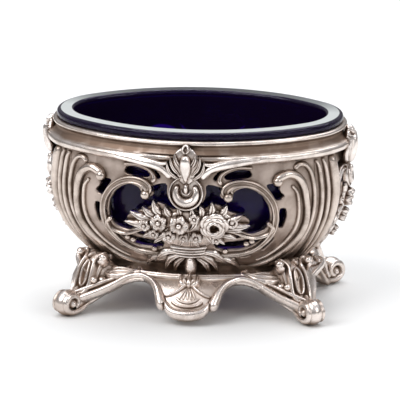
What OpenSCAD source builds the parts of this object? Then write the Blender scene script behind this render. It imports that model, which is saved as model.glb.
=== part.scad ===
/* [Plan oval] */
// Length of the oval hole that the glass hangs in
seat_l = 75; // [73:0.5:77]
// Width of the oval hole that the glass hangs in
seat_w = 48; // [47:0.5:50]
// Turn from the front at which the long side arc meets the tighter end arc
seat_turn = 40; // [38:1:42]

/* [Rim moulding] */
// Height of the rim's top edge above the table
rim_top = 51.5; // [48:0.5:56]
// Height of the rim moulding
rim_h = 6.5; // [5:0.25:8]
// How far the lower bead stands outside the hole
rim_out = 4.5; // [3.8:0.1:5.2]

/* [Bowl wall] */
// Height of the wall's lower edge above the table
bowl_foot = 12.5; // [11:0.5:14]
// Height of the widest part of the wall
belly_z = 36.5; // [34:0.5:39]
// How far the widest part stands outside the hole
belly_out = 2.5; // [2:0.1:3]
// How far the wall draws in again under the rim
neck_in = 0.6; // [0.2:0.1:1]
// How far the wall's lower edge tucks in under the hole
tuck_in = 11; // [10:0.25:12]
// Thickness of the cast openwork
wall_t = 1.6; // [1.3:0.1:1.9]

/* [Relief] */
// Height of the plain ground beside the corner ribs
ground_h = 0.5; // [0.3:0.1:0.9]
// Height of the corner ribs above the wall
rib_h = 1.5; // [1.2:0.1:2]
// Width of the main corner rib
rib_w = 2.2; // [1.8:0.1:2.6]
// Width of the slim ribs
slim_rib_w = 1.5; // [1.2:0.1:1.8]
// Height of the curled scrolls round the large openings
scroll_h = 1.1; // [0.8:0.1:1.6]
// Width of the curled scrolls
scroll_w = 1.5; // [1.2:0.1:1.7]
// Radius of the eye that ends a scroll
eye_r = 1.6; // [1.2:0.1:1.9]

/* [Clasps and shell bosses] */
// How far the rim clasps stand outside the hole
clasp_out = 6.3; // [5.8:0.1:6.6]
// Half width of a rim clasp at its widest
clasp_half_w = 5.6; // [4.5:0.1:6.5]
// Radius of the shell boss under a clasp
boss_r = 4.9; // [4.4:0.1:5.3]
// Height of the boss centre above the table
boss_z = 37.3; // [36.5:0.1:38.5]
// How far the boss stands out of the wall
boss_h = 2.6; // [2:0.1:3.2]

/* [Flowers] */
// Height of the basket relief above the wall
basket_h = 1.6; // [1.2:0.1:2.2]
// Radius of the large rose
rose_r = 3.4; // [2.8:0.1:3.8]
// Radius of the small flowers
daisy_r = 2.5; // [2:0.1:2.9]
// How far the flowers stand out of the wall
flower_h = 3.4; // [2.6:0.1:3.8]

/* [Base] */
// Height of the ring that joins the bowl to the base
waist_h = 2; // [1.6:0.1:2.6]
// How far the waist ring stands inside the hole
waist_in = 9.5; // [9:0.1:10]
// How far the base flares outside the hole
skirt_out = 3.8; // [3.2:0.1:4.4]
// Lowest point of the flared skirt above the table
skirt_low = 2; // [1.5:0.1:2.6]
// Thickness of the skirt
skirt_t = 1.4; // [1.1:0.1:1.8]
// Half turn of the long aprons about the side arc's centre
apron_turn = 24; // [22:0.5:26]
// Half turn of the end aprons about the end arc's centre
end_apron_turn = 28; // [25:0.5:31]
// Height of the lip along the arches
lip_h = 0.9; // [0.6:0.1:1.3]
// Width of the lip along the arches
lip_w = 1.5; // [1.2:0.1:1.9]

/* [Scroll feet] */
// How far each foot's centre stands inside the end of the hole, along the length
foot_in_l = 4.1; // [2.5:0.1:5.5]
// How far each foot's centre stands inside the side of the hole, across the width
foot_in_w = 2.7; // [1.5:0.1:3.5]
// Radius of the curled foot
foot_r = 3.5; // [3.1:0.1:3.9]
// Width of the curled foot
foot_w = 5.3; // [4.6:0.1:6]
// Depth of the worn flat under each foot
foot_flat = 0.25; // [0.15:0.05:0.35]
// Turn of each leg from the front towards the end
leg_turn = 38; // [35:1:41]
// Length of a leg from its root to the foot's centre
leg_l = 20; // [19:0.25:21]
// Clearance between a leg's root and the waist ring
leg_gap = 0.06; // [0.05:0.01:0.1]

/* [Glass liner] */
// Clearance between the glass and the hole
glass_clear = 0.6; // [0.4:0.05:0.9]
// Thickness of the glass wall
glass_wall = 2.4; // [2:0.1:2.8]
// How far the glass flange stands outside the hole
flange_out = 1.8; // [1.4:0.1:2.2]
// Height of the glass flange above the rim
flange_h = 2.2; // [1.8:0.1:2.8]
// Height of the underside of the glass above the table
glass_foot = 17.5; // [17:0.25:19]
// How far the foot of the glass tucks in under the hole
glass_tuck = 11; // [10.5:0.1:11.5]
// Thickness of the glass floor
glass_floor = 3; // [2.4:0.1:3.6]

/* [Hidden] */
$fn = 48;
// The long side arcs are drawn more finely
arc_fn = 144;

silver = "silver";
cobalt = "midnightblue";

// Curve of the bowl wall below the belly, and of the glass and the skirt
wall_fullness = 2.3;
glass_fullness = 4.5;
skirt_fullness = 2.4;
// Straight steps along each curved profile and between two points of an outline
profile_steps = 8;
outline_steps = 3;
oval_steps = 5;
root_steps = 18;
// Turn of a boss's or flower's seam, clear of the middle line
seam_turn = 20;
// An end piece laps this turn into the side piece, and lies this much inside its faces there
seam_lap = 1;
seam_slack = 0.05;
// One overrun serves every cut
over = 1;
// Depth of the straight cutters and outlines that cross the oval
reach = seat_l;

// Four-centre oval: two side arcs and two end arcs. Its ends are as round for their width as on an oval of the
// usual width for its length whose arcs meet at seat_turn, so the turn at which they meet follows the proportions
usual_width_share = 0.64;
half_l = seat_l / 2;
half_w = seat_w / 2;
usual_gap_share = (1 - usual_width_share) / (sin(seat_turn) + cos(seat_turn) - 1);
end_round_share = (1 - usual_gap_share * sin(seat_turn)) / usual_width_share;
end_r = half_w * end_round_share;
end_c = half_l - end_r;
meet_turn = 2 * atan((half_w - end_r) / end_c);
arc_gap = end_c / sin(meet_turn);
side_c = arc_gap * cos(meet_turn);
side_r = end_r + arc_gap;
end_turn = 90 - meet_turn;

bowl_top = rim_top - rim_h;
bowl_h = bowl_top - bowl_foot;
base_h = bowl_foot;

// Offset of the wall's outer face from the hole at height z
function wall_off(z) =
    z < belly_z
    ? belly_out - (belly_out + tuck_in) * pow((belly_z - z) / (belly_z - bowl_foot), wall_fullness)
    : belly_out - neck_in * (z - belly_z) / (bowl_top - belly_z);

// Heights along the wall, closer together where it tucks in
wall_zs = concat([for (i = [0 : profile_steps - 1]) bowl_foot + (belly_z - bowl_foot) * i / profile_steps],
                 [belly_z, (belly_z + bowl_top) / 2, bowl_top]);
function wall_line(out) = [for (z = wall_zs) [wall_off(z) + out, z]];
function reversed(list) = [for (i = [len(list) - 1 : -1 : 0]) list[i]];
function band(inner, outer) = concat(wall_line(outer), reversed(wall_line(inner)));

// Offset and height of the skirt's outer face, from the waist at share 0 to the lower edge at share 1
skirt_top = bowl_foot - waist_h / 8;
skirt_run = waist_in + skirt_out;
skirt_drop = skirt_top - skirt_low;
skirt_shares = [0, 0.2, 0.4, 0.55, 0.7, 0.8, 0.9, 1];
function skirt_point(t, out) =
    let (slope = atan(skirt_drop * skirt_fullness * pow(t, skirt_fullness - 1) / skirt_run))
    [skirt_run * t - waist_in + out * sin(slope),
     skirt_top - skirt_drop * pow(t, skirt_fullness) + out * cos(slope)];
function skirt_band(inner, outer) =
    concat([for (t = skirt_shares) skirt_point(t, outer)],
           [for (t = reversed(skirt_shares)) skirt_point(t, inner)]);

// A profile of offsets and heights, turned about the side arc's or the end arc's centre
module side_arc(profile, from, to)
    translate([0, side_c, 0])
        rotate([0, 0, from - 90])
            rotate_extrude(angle = to - from, $fn = arc_fn)
                polygon([for (p = profile) [p[0] + side_r, p[1]]]);
module end_arc(profile, from, to)
    translate([end_c, 0, 0])
        rotate([0, 0, from])
            rotate_extrude(angle = to - from)
                polygon([for (p = profile) [p[0] + end_r, p[1]]]);
module oval_ring(profile, end_profile)
    for (flip = [0, 1]) {
        mirror([0, flip, 0]) side_arc(profile, -meet_turn, meet_turn);
        mirror([flip, 0, 0]) end_arc(end_profile, -end_turn - seam_lap, end_turn + seam_lap);
    }
// Draws a profile's top and bottom in by the slack, for the end pieces
function squeezed(profile) =
    let (zs = [for (p = profile) p[1]], mid = (max(zs) + min(zs)) / 2, half = (max(zs) - min(zs)) / 2)
    [for (p = profile) [p[0], p[1] + seam_slack * (mid - p[1]) / half]];
// Points round the oval at an offset from the hole
function oval_quarter(off, steps) =
    concat([for (i = [0.5 : steps - 0.5])
               let (a = meet_turn * i / steps)
               [(side_r + off) * sin(a), side_c - (side_r + off) * cos(a)]],
           [for (i = [0.5 : steps - 0.5])
               let (a = meet_turn + end_turn * i / steps)
               [end_c + (end_r + off) * sin(a), -(end_r + off) * cos(a)]]);
function oval_points(off, steps) =
    let (q = oval_quarter(off, steps), half = concat(q, [for (p = reversed(q)) [p[0], -p[1]]]))
    concat(half, [for (p = reversed(half)) [-p[0], p[1]]]);

// A flat outline drawn as x and height, run out through the front or the right end
module through_front() rotate([90, 0, 0]) linear_extrude(reach) children();
module through_end() rotate([90, 0, 90]) linear_extrude(reach) children();

// A round relief turned from its profile shares, rooted in the wall
module turned(shares, r, h)
    rotate([0, 0, seam_turn])
        rotate_extrude()
            polygon(concat([[0, -wall_t], [r, -wall_t]], [for (p = shares) [p[0] * r, p[1] * h]]));

// Smooth line through hand-placed points
function knot(p, i, t) =
    let (a = p[max(i - 1, 0)], b = p[i], c = p[i + 1], d = p[min(i + 2, len(p) - 1)])
    (2 * b + (c - a) * t + (2 * a - 5 * b + 4 * c - d) * t * t + (3 * b - a - 3 * c + d) * t * t * t) / 2;
function smooth(p) =
    concat([for (i = [0 : len(p) - 2], s = [0 : outline_steps - 1]) knot(p, i, s / outline_steps)],
           [p[len(p) - 1]]);
function beside(p, i, w) =
    let (d = p[min(i + 1, len(p) - 1)] - p[max(i - 1, 0)])
    p[i] + w / norm(d) * [-d[1], d[0]];
module ribbon(points, start_w, end_w) {
    p = smooth(points);
    n = len(p) - 1;
    polygon(concat([for (i = [0 : n]) beside(p, i, (start_w + (end_w - start_w) * i / n) / 2)],
                   [for (i = [n : -1 : 0]) beside(p, i, -(start_w + (end_w - start_w) * i / n) / 2)]));
}

// Shares of the half length and of the bowl height, as places on the front; and of the half width on the ends
function on_front(shares) = [for (p = shares) [p[0] * half_l, bowl_foot + p[1] * bowl_h]];
function on_end(shares) = [for (p = shares) [p[0] * half_w, bowl_foot + p[1] * bowl_h]];
function on_front_base(shares) = [for (p = shares) [p[0] * half_l, p[1] * base_h]];
function on_end_base(shares) = [for (p = shares) [p[0] * half_w, p[1] * base_h]];

// Openings of one half of a long side: the large one, then the slots round it
front_opening_shares = [
    [[0.42, 0.80], [0.34, 0.77], [0.33, 0.73], [0.28, 0.70], [0.245, 0.74], [0.255, 0.80], [0.15, 0.83], [0.14, 0.75],
     [0.12, 0.69], [0.065, 0.635], [0.095, 0.605], [0.21, 0.66], [0.295, 0.60], [0.40, 0.55], [0.445, 0.50],
     [0.39, 0.43], [0.44, 0.37], [0.54, 0.40], [0.59, 0.49], [0.59, 0.58], [0.57, 0.665], [0.515, 0.75]],
    [[0.45, 0.94], [0.36, 0.95], [0.275, 0.91], [0.285, 0.87], [0.365, 0.87], [0.455, 0.885]],
    [[0.33, 0.97], [0.25, 0.955], [0.20, 0.905], [0.195, 0.865], [0.22, 0.87], [0.255, 0.93]],
    [[0.665, 0.83], [0.61, 0.82], [0.565, 0.81], [0.60, 0.745], [0.64, 0.67], [0.69, 0.70], [0.655, 0.765]],
    [[0.695, 0.59], [0.66, 0.60], [0.65, 0.555], [0.65, 0.495], [0.64, 0.42], [0.67, 0.415], [0.69, 0.47], [0.705, 0.535]],
    [[0.605, 0.31], [0.58, 0.325], [0.505, 0.21], [0.53, 0.205]],
    [[0.525, 0.33], [0.44, 0.325], [0.36, 0.28], [0.265, 0.265], [0.185, 0.275], [0.225, 0.23], [0.305, 0.22],
     [0.385, 0.23], [0.465, 0.27]],
    [[0.355, 0.385], [0.305, 0.395], [0.30, 0.335], [0.34, 0.335], [0.385, 0.355]],
    [[0.435, 0.155], [0.38, 0.165], [0.31, 0.155], [0.35, 0.125], [0.40, 0.125]]];
end_opening_shares = [
    [[0.10, 0.815], [0.215, 0.82], [0.29, 0.74], [0.31, 0.615], [0.285, 0.495], [0.19, 0.415], [0.15, 0.49],
     [0.19, 0.585], [0.16, 0.69], [0.09, 0.75]],
    [[0.085, 0.29], [0.235, 0.325], [0.275, 0.385], [0.31, 0.34], [0.225, 0.26], [0.09, 0.24]],
    [[0.10, 0.92], [0.26, 0.90], [0.30, 0.86], [0.12, 0.87]]];

// Centre lines of the relief on the long sides and the ends
scroll_shares = [[0.305, 0.82], [0.35, 0.84], [0.415, 0.845], [0.485, 0.82], [0.56, 0.75], [0.605, 0.665], [0.62, 0.575],
                 [0.62, 0.485], [0.60, 0.41], [0.565, 0.335], [0.49, 0.235], [0.40, 0.19], [0.305, 0.18], [0.20, 0.185]];
scroll_eye_share = [0.295, 0.785];
main_rib_shares = [[0.70, 0.905], [0.755, 0.885], [0.80, 0.80], [0.82, 0.70], [0.825, 0.60], [0.81, 0.45], [0.77, 0.34],
                   [0.71, 0.25], [0.625, 0.165], [0.54, 0.10], [0.44, 0.055], [0.34, 0.03]];
main_eye_share = [0.67, 0.885];
inner_rib_shares = [[0.735, 0.79], [0.77, 0.73], [0.78, 0.63], [0.775, 0.52], [0.755, 0.43], [0.715, 0.335], [0.64, 0.235],
                    [0.55, 0.15], [0.455, 0.09]];
low_rib_shares = [[0.81, 0.93], [0.845, 0.915], [0.87, 0.815], [0.875, 0.68], [0.865, 0.54], [0.83, 0.41], [0.78, 0.29],
                  [0.70, 0.175], [0.605, 0.08], [0.525, 0.03]];
ground_shares = [[0.62, 0], [0.9, 0], [1.1, 0.3], [1.1, 1], [0.68, 1]];
end_rib_shares = [[0.40, 0.955], [0.385, 0.80], [0.37, 0.62], [0.34, 0.43], [0.28, 0.27], [0.20, 0.15], [0.12, 0.06]];
seam_rib_shares = [[0.54, 0.93], [0.53, 0.76], [0.505, 0.56], [0.445, 0.38], [0.365, 0.24], [0.28, 0.12]];
end_ground_shares = [[0.30, 0], [0.65, 0], [0.8, 1], [0.40, 1]];

// Half outlines of the flower basket, the end spray and the two kinds of clasp
basket_shares = [[0, 0.61], [0.11, 0.61], [0.21, 0.665], [0.28, 0.62], [0.385, 0.56], [0.44, 0.50], [0.375, 0.43],
                 [0.29, 0.39], [0.285, 0.31], [0.18, 0.27], [0.13, 0.19], [0.12, 0.12], [0, 0.11]];
spray_shares = [[0, 0.66], [0.10, 0.68], [0.17, 0.585], [0.13, 0.49], [0.17, 0.41], [0.08, 0.33], [0, 0.20]];
// Flowers on the basket: place across the half length, height share and size share of a small flower
flower_places_shares = [[-0.045, 0.50, 1.15], [-0.20, 0.53, 1], [-0.315, 0.49, 0.75], [-0.13, 0.37, 0.9],
                        [0.08, 0.37, 0.9], [0.33, 0.51, 0.7]];
rose_place_share = [0.185, 0.475];
spray_places_shares = [[0, 0.57, 0.9], [0.02, 0.42, 0.7], [-0.01, 0.29, 0.55]];
clasp_shares = [[0, 1], [0.30, 1], [0.50, 0.93], [0.90, 0.92], [1, 0.82], [0.88, 0.70], [0.72, 0.58], [0.70, 0.45],
                [0.72, 0.32], [0.60, 0.18], [0.40, 0]];
clasp_face_shares = [[0.50, 1], [0.72, 0.92], [0.94, 0.76], [1, 0.66], [0.93, 0.48], [0.76, 0.26], [0.64, 0]];
swag_shares = [[0.425, 0.985], [0.30, 0.98], [0.20, 0.95], [0.125, 0.90], [0.07, 0.86]];

// Profiles of the shell boss, the small flowers and the hollow rose: shares of the radius and of the height
boss_shares = [[1, 0.35], [0.86, 0.75], [0.55, 0.80], [0.5, 1], [0, 1]];
daisy_shares = [[1, 0.40], [0.80, 0.62], [0.42, 0.45], [0.36, 0.85], [0, 0.95]];
rose_shares = [[1, 0.55], [0.82, 0.95], [0.55, 1], [0.42, 0.75], [0, 0.50]];

// Profile of the rim moulding: shares of its projection and of its height
rim_shares = [[0, 1], [0.56, 1], [0.66, 0.92], [0.58, 0.80], [0.45, 0.74], [0.47, 0.58], [0.62, 0.46], [0.86, 0.42],
              [1, 0.32], [1, 0.18], [0.88, 0.06], [0.66, 0], [0, 0]];
function rim_line(slack) =
    [for (p = rim_shares) [p[0] * rim_out + (p[0] > 0 ? -slack : slack), bowl_top + p[1] * rim_h]];

// Lower edge of the aprons and legs, from the middle of a side to the foot
arch_shares = [[0, 0.16], [0.075, 0.20], [0.13, 0.33], [0.15, 0.47], [0.175, 0.61], [0.225, 0.735], [0.295, 0.815],
               [0.375, 0.83], [0.465, 0.77], [0.56, 0.63], [0.655, 0.45], [0.745, 0.255], [0.84, 0.10]];
end_arch_shares = [[0, 0.845], [0.14, 0.84], [0.27, 0.815], [0.38, 0.765], [0.49, 0.675], [0.60, 0.52], [0.71, 0.34],
                   [0.82, 0.15]];

// Pitch and half width of the shell's flutes at their top and at their foot, as shares of the lip's width
flute_shares = [[0.3, 0.2], [1.3, 0.45]];

// Stations along a leg: shares of its length, of the base height, and of the foot's width and radius
leg_shares = [[0.14, 0.92, 0.80, 0.22], [0.25, 0.93, 0.86, 0.48], [0.37, 0.95, 0.88, 0.84], [0.48, 0.92, 0.84, 1.14],
              [0.57, 0.83, 0.76, 1.22], [0.64, 0.72, 0.68, 1.08], [0.71, 0.60, 0.62, 0.80], [0.78, 0.49, 0.57, 0.60],
              [0.86, 0.39, 0.53, 0.52], [0.97, 0.29, 0.48, 0.46]];
leg_sides = 12;
knee_shares = [[0.47, 0.78, 1.12], [0.62, 0.68, 0.84]];
knee_r = foot_r * 0.4;

foot_x = half_l - foot_in_l;
foot_y = half_w - foot_in_w;
foot_c = foot_r - foot_flat;
// The hub of the curl stands a little outside it
foot_hub_r = foot_r * 0.45;
foot_hub_w = foot_w * 1.2;

module rim_moulding()
    color(silver)
        oval_ring(rim_line(0), squeezed(rim_line(seam_slack)));

function waist_line(slack) =
    [[slack - tuck_in - wall_t, bowl_foot], [-tuck_in - slack, bowl_foot], [-waist_in - slack, bowl_foot - waist_h / 4],
     [-waist_in - slack, bowl_foot - waist_h], [slack - tuck_in - wall_t, bowl_foot - waist_h]];
module waist_ring()
    color(silver)
        oval_ring(waist_line(0), squeezed(waist_line(seam_slack)));

// Cast openwork side with its row of openings
module long_panel()
    color(silver)
        difference() {
            side_arc(band(-wall_t, 0), -meet_turn, meet_turn);
            through_front()
                for (shares = front_opening_shares, flip = [0, 1])
                    mirror([flip, 0]) polygon(on_front(shares));
        }
module end_panel()
    color(silver)
        difference() {
            end_arc(band(-wall_t, 0), -end_turn, end_turn);
            through_end()
                for (shares = end_opening_shares, flip = [0, 1])
                    mirror([flip, 0]) polygon(on_end(shares));
        }

// Ribs that sweep from the rim round the front right corner and in under the openings
module corner_ribs()
    color(silver) {
        intersection() {
            side_arc(band(0, ground_h), 0, meet_turn);
            through_front()
                polygon(concat(smooth(on_front(main_rib_shares)), on_front(ground_shares)));
        }
        intersection() {
            side_arc(band(0, rib_h), 0, meet_turn);
            through_front() {
                ribbon(on_front(main_rib_shares), rib_w, slim_rib_w);
                ribbon(on_front(inner_rib_shares), slim_rib_w / 2, slim_rib_w / 2);
                ribbon(on_front(low_rib_shares), slim_rib_w, slim_rib_w);
                translate(on_front([main_eye_share])[0]) circle(eye_r);
            }
        }
        mirror([0, 1, 0]) {
            intersection() {
                end_arc(squeezed(band(seam_slack, ground_h - seam_slack)), 0, end_turn + seam_lap);
                through_end()
                    polygon(concat(smooth(on_end(end_rib_shares)), on_end(end_ground_shares)));
            }
            intersection() {
                end_arc(band(0, rib_h), 0, end_turn);
                through_end() {
                    ribbon(on_end(end_rib_shares), rib_w, slim_rib_w);
                    ribbon(on_end(seam_rib_shares), slim_rib_w, slim_rib_w);
                }
            }
        }
    }

// Curled scroll round the right-hand opening of the front
module curled_scroll()
    color(silver)
        intersection() {
            side_arc(band(0, scroll_h), 0, meet_turn);
            union() {
                through_front() ribbon(on_front(scroll_shares), scroll_w, scroll_w * 0.7);
                through_front() translate(on_front([scroll_eye_share])[0]) circle(eye_r);
            }
        }

// The bosses at the ends are smaller
end_boss_r = boss_r * 3 / 4;

// Outer line of the wall and the rim together, which a clasp lies on
clasp_low = boss_z + end_boss_r / 3;
clasp_rise = rim_top - clasp_low;
skin_line = concat([for (z = [clasp_low, (clasp_low + bowl_top) / 2, bowl_top]) [wall_off(z), z]],
                   reversed([for (i = [1 : len(rim_shares) - 2]) rim_line(0)[i]]));
face_line = [for (p = clasp_face_shares) [p[0] * clasp_out, clasp_low + p[1] * clasp_rise]];
clasp_profile = concat(skin_line, face_line);
function clasp_outline(half_width) =
    let (half = [for (p = clasp_shares) [p[0] * half_width, clasp_low + p[1] * clasp_rise]])
    concat(half, [for (p = reversed(half)) [-p[0], p[1]]]);

module long_clasp()
    color(silver)
        difference() {
            union() {
                intersection() {
                    side_arc(clasp_profile, -meet_turn, meet_turn);
                    through_front() polygon(clasp_outline(clasp_half_w));
                }
                intersection() {
                    side_arc(band(seam_slack, rib_h), -meet_turn, meet_turn);
                    through_front()
                        for (flip = [0, 1])
                            mirror([flip, 0]) ribbon(on_front(swag_shares), slim_rib_w, rib_w);
                }
            }
            through_front() translate([0, boss_z]) circle(boss_r);
        }
module end_clasp()
    color(silver)
        difference() {
            intersection() {
                end_arc(clasp_profile, -end_turn, end_turn);
                through_end() polygon(clasp_outline(clasp_half_w));
            }
            through_end() translate([0, boss_z]) circle(end_boss_r);
        }

// Domed shell boss, on the wall at the middle of a side
module long_boss()
    color(silver)
        intersection() {
            side_arc(band(0, boss_h * 2), -meet_turn, meet_turn);
            translate([0, -half_w - wall_off(boss_z), boss_z])
                rotate([90, 0, 0])
                    turned(boss_shares, boss_r, boss_h);
        }
module end_boss()
    color(silver)
        intersection() {
            end_arc(band(0, boss_h * 2), -end_turn, end_turn);
            translate([half_l + wall_off(boss_z), 0, boss_z])
                rotate([0, 90, 0])
                    turned(boss_shares, end_boss_r, boss_h);
        }

// Stands a flower on the long side at a place across and a height
module on_long_side(place) {
    r = side_r + wall_off(place[1]);
    translate([0, side_c, 0])
        rotate([0, 0, asin(place[0] / r)])
            translate([0, -r, place[1]])
                rotate([90, 0, 0]) children();
}
module flower_basket()
    color(silver)
        difference() {
            intersection() {
                side_arc(band(0, reach / 8), -meet_turn, meet_turn);
                union() {
                    intersection() {
                        side_arc(band(0, basket_h), -meet_turn, meet_turn);
                        through_front()
                            for (flip = [0, 1])
                                mirror([flip, 0]) polygon(on_front(basket_shares));
                    }
                    for (f = flower_places_shares)
                        on_long_side(on_front([f])[0])
                            turned(daisy_shares, f[2] * daisy_r, flower_h);
                    on_long_side(on_front([rose_place_share])[0])
                        turned(rose_shares, rose_r, flower_h);
                }
            }
            through_front() translate([0, boss_z]) circle(boss_r);
        }
module flower_spray()
    color(silver)
        difference() {
            intersection() {
                end_arc(band(0, reach / 8), -end_turn, end_turn);
                union() {
                    intersection() {
                        end_arc(band(0, basket_h), -end_turn, end_turn);
                        through_end()
                            for (flip = [0, 1])
                                mirror([flip, 0]) polygon(on_end(spray_shares));
                    }
                    for (f = spray_places_shares) {
                        place = on_end([f])[0];
                        translate([half_l + wall_off(place[1]), place[0], place[1]])
                            rotate([0, 90, 0])
                                turned(daisy_shares, f[2] * daisy_r, flower_h);
                    }
                }
            }
            through_end() translate([0, boss_z]) circle(end_boss_r);
        }

// Everything below the arches of a side
module below_arch(edge, far)
    for (flip = [0, 1])
        mirror([flip, 0])
            polygon(concat(smooth(edge), [[far, edge[len(edge) - 1][1]], [far, -over], [0, -over]]));
front_edge = on_front_base(arch_shares);
end_edge = on_end_base(end_arch_shares);

// Skirt between the legs, with its lip and the flutes of the shell
module long_apron() {
    top = flute_shares[0];
    low = flute_shares[1];
    color(silver) {
        difference() {
            side_arc(skirt_band(-skirt_t, 0), -apron_turn, apron_turn);
            through_front() below_arch(front_edge, half_l);
        }
        difference() {
            intersection() {
                side_arc(skirt_band(0, lip_h), -apron_turn, apron_turn);
                through_front() {
                    for (flip = [0, 1])
                        mirror([flip, 0]) ribbon(front_edge, lip_w * 2, lip_w * 2);
                    for (a = [-2 : 2])
                        polygon([[(a * top[0] - top[1]) * lip_w, base_h], [(a * top[0] + top[1]) * lip_w, base_h],
                                 [(a * low[0] + low[1]) * lip_w, skirt_low], [(a * low[0] - low[1]) * lip_w, skirt_low]]);
                }
            }
            through_front() below_arch(front_edge, half_l);
        }
    }
}
module end_apron()
    color(silver) {
        difference() {
            end_arc(skirt_band(-skirt_t, 0), -end_apron_turn, end_apron_turn);
            through_end() below_arch(end_edge, half_w);
        }
        difference() {
            intersection() {
                end_arc(skirt_band(0, lip_h), -end_apron_turn, end_apron_turn);
                through_end()
                    for (flip = [0, 1])
                        mirror([flip, 0]) ribbon(end_edge, lip_w * 2, lip_w * 2);
            }
            through_end() below_arch(end_edge, half_w);
        }
    }

// Leg: a corner of the skirt, a tapering arm and the curled foot, at the front right
function leg_ring(s) =
    [for (k = [0 : leg_sides - 1])
        let (a = 360 * k / leg_sides)
        [s[2] * foot_w * cos(a), leg_l * (1 - s[0]), s[1] * base_h + s[3] * foot_r * sin(a)]];
leg_points = [for (s = leg_shares, p = leg_ring(s)) p];
leg_faces = concat(
    [[for (k = [0 : leg_sides - 1]) k]],
    [[for (k = [leg_sides - 1 : -1 : 0]) (len(leg_shares) - 1) * leg_sides + k]],
    [for (j = [0 : len(leg_shares) - 2], k = [0 : leg_sides - 1])
        let (a = j * leg_sides + k, b = j * leg_sides + (k + 1) % leg_sides)
        [a, a + leg_sides, b + leg_sides, b]]);
module leg_frame()
    translate([foot_x, -foot_y, 0])
        rotate([0, 0, leg_turn])
            children();
module leg()
    color(silver) {
        difference() {
            side_arc(skirt_band(-skirt_t, 0), apron_turn, meet_turn);
            through_front() below_arch(front_edge, half_l);
        }
        mirror([0, 1, 0])
            difference() {
                end_arc(skirt_band(seam_slack - skirt_t, -seam_slack), end_apron_turn, end_turn + seam_lap);
                through_end() below_arch(end_edge, half_w);
            }
        difference() {
            leg_frame() polyhedron(points = leg_points, faces = leg_faces);
            linear_extrude(base_h * 2) polygon(oval_points(leg_gap - waist_in, root_steps));
        }
        leg_frame() {
            difference() {
                translate([0, 0, foot_c])
                    rotate([0, 90, 0]) cylinder(r = foot_r, h = foot_w, center = true);
                translate([-foot_w, -foot_w, -foot_r]) cube([foot_w * 2, foot_w * 2, foot_r]);
            }
            translate([0, 0, foot_c])
                rotate([0, 90, 0]) cylinder(r = foot_hub_r, h = foot_hub_w, center = true);
            for (k = knee_shares)
                for (side = [-1, 1])
                    translate([side * k[1] * foot_w, leg_l * (1 - k[0]), k[2] * base_h]) sphere(knee_r);
        }
    }

// Glass: a bowl whose flange hangs on the rim
glass_depth = rim_top - glass_foot;
function glass_off(z) =
    -glass_clear - (glass_tuck - glass_clear) * pow((rim_top - z) / glass_depth, glass_fullness);
glass_top = rim_top + flange_h;
glass_floor_z = glass_foot + glass_floor;
glass_shares = [0, 0.03, 0.07, 0.13, 0.2, 0.3, 0.45, 0.65];
function glass_outer(slack) =
    concat([for (t = glass_shares) let (z = glass_foot + t * glass_depth) [glass_off(z) - slack, z]],
           [[-glass_clear - slack, rim_top + slack]]);
function glass_inner(slack) =
    concat([for (t = glass_shares) let (z = glass_floor_z + t * (rim_top - glass_floor_z))
               [glass_off(z) - glass_wall + slack, z]],
           [[slack - glass_clear - glass_wall, rim_top]]);
flange_edge_shares = [[1, 0], [1, 0.75], [0.8, 0.93], [0.5, 1]];
// The ring of glass runs in to its core, and the middle of the floor laps into it
glass_core = -glass_tuck - glass_wall / 2;
glass_lap = glass_wall / 4;
function glass_profile(slack) =
    concat([[glass_core, glass_foot]], glass_outer(slack),
           [for (p = flange_edge_shares) [p[0] * flange_out - slack, rim_top + slack + p[1] * (flange_h - slack)]],
           [[-glass_clear - glass_wall * 0.7, glass_top], [slack - glass_clear - glass_wall, glass_top - flange_h / 4]],
           reversed(glass_inner(slack)), [[glass_core, glass_floor_z]]);
module glass_liner()
    color(cobalt) {
        oval_ring(glass_profile(0), squeezed(glass_profile(seam_slack)));
        translate([0, 0, glass_foot + seam_slack])
            linear_extrude(glass_floor - seam_slack * 2)
                polygon(oval_points(glass_core + glass_lap, oval_steps));
    }

// Puts a front right piece at another corner
module at_corner(left, back) mirror([left, 0, 0]) mirror([0, back, 0]) children();

rim_moulding();
waist_ring();
long_panel();  // front_panel
mirror([0, 1, 0]) long_panel();  // back_panel
mirror([1, 0, 0]) end_panel();  // left_panel
end_panel();  // right_panel
at_corner(1, 0) corner_ribs();  // corner_ribs_front_left
at_corner(0, 0) corner_ribs();  // corner_ribs_front_right
at_corner(1, 1) corner_ribs();  // corner_ribs_back_left
at_corner(0, 1) corner_ribs();  // corner_ribs_back_right
at_corner(1, 0) curled_scroll();  // scroll_front_left
at_corner(0, 0) curled_scroll();  // scroll_front_right
at_corner(1, 1) curled_scroll();  // scroll_back_left
at_corner(0, 1) curled_scroll();  // scroll_back_right
long_clasp();  // rim_clasp_front
mirror([0, 1, 0]) long_clasp();  // rim_clasp_back
mirror([1, 0, 0]) end_clasp();  // rim_clasp_left
end_clasp();  // rim_clasp_right
long_boss();  // shell_boss_front
mirror([0, 1, 0]) long_boss();  // shell_boss_back
mirror([1, 0, 0]) end_boss();  // shell_boss_left
end_boss();  // shell_boss_right
flower_basket();  // flower_basket_front
mirror([0, 1, 0]) flower_basket();  // flower_basket_back
mirror([1, 0, 0]) flower_spray();  // flower_spray_left
flower_spray();  // flower_spray_right
at_corner(1, 0) leg();  // leg_front_left
at_corner(0, 0) leg();  // leg_front_right
at_corner(1, 1) leg();  // leg_back_left
at_corner(0, 1) leg();  // leg_back_right
long_apron();  // apron_front
mirror([0, 1, 0]) long_apron();  // apron_back
mirror([1, 0, 0]) end_apron();  // apron_left
end_apron();  // apron_right
glass_liner();
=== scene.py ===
import math

import bmesh
import bpy
import numpy as np
from mathutils import Matrix, Vector


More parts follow.
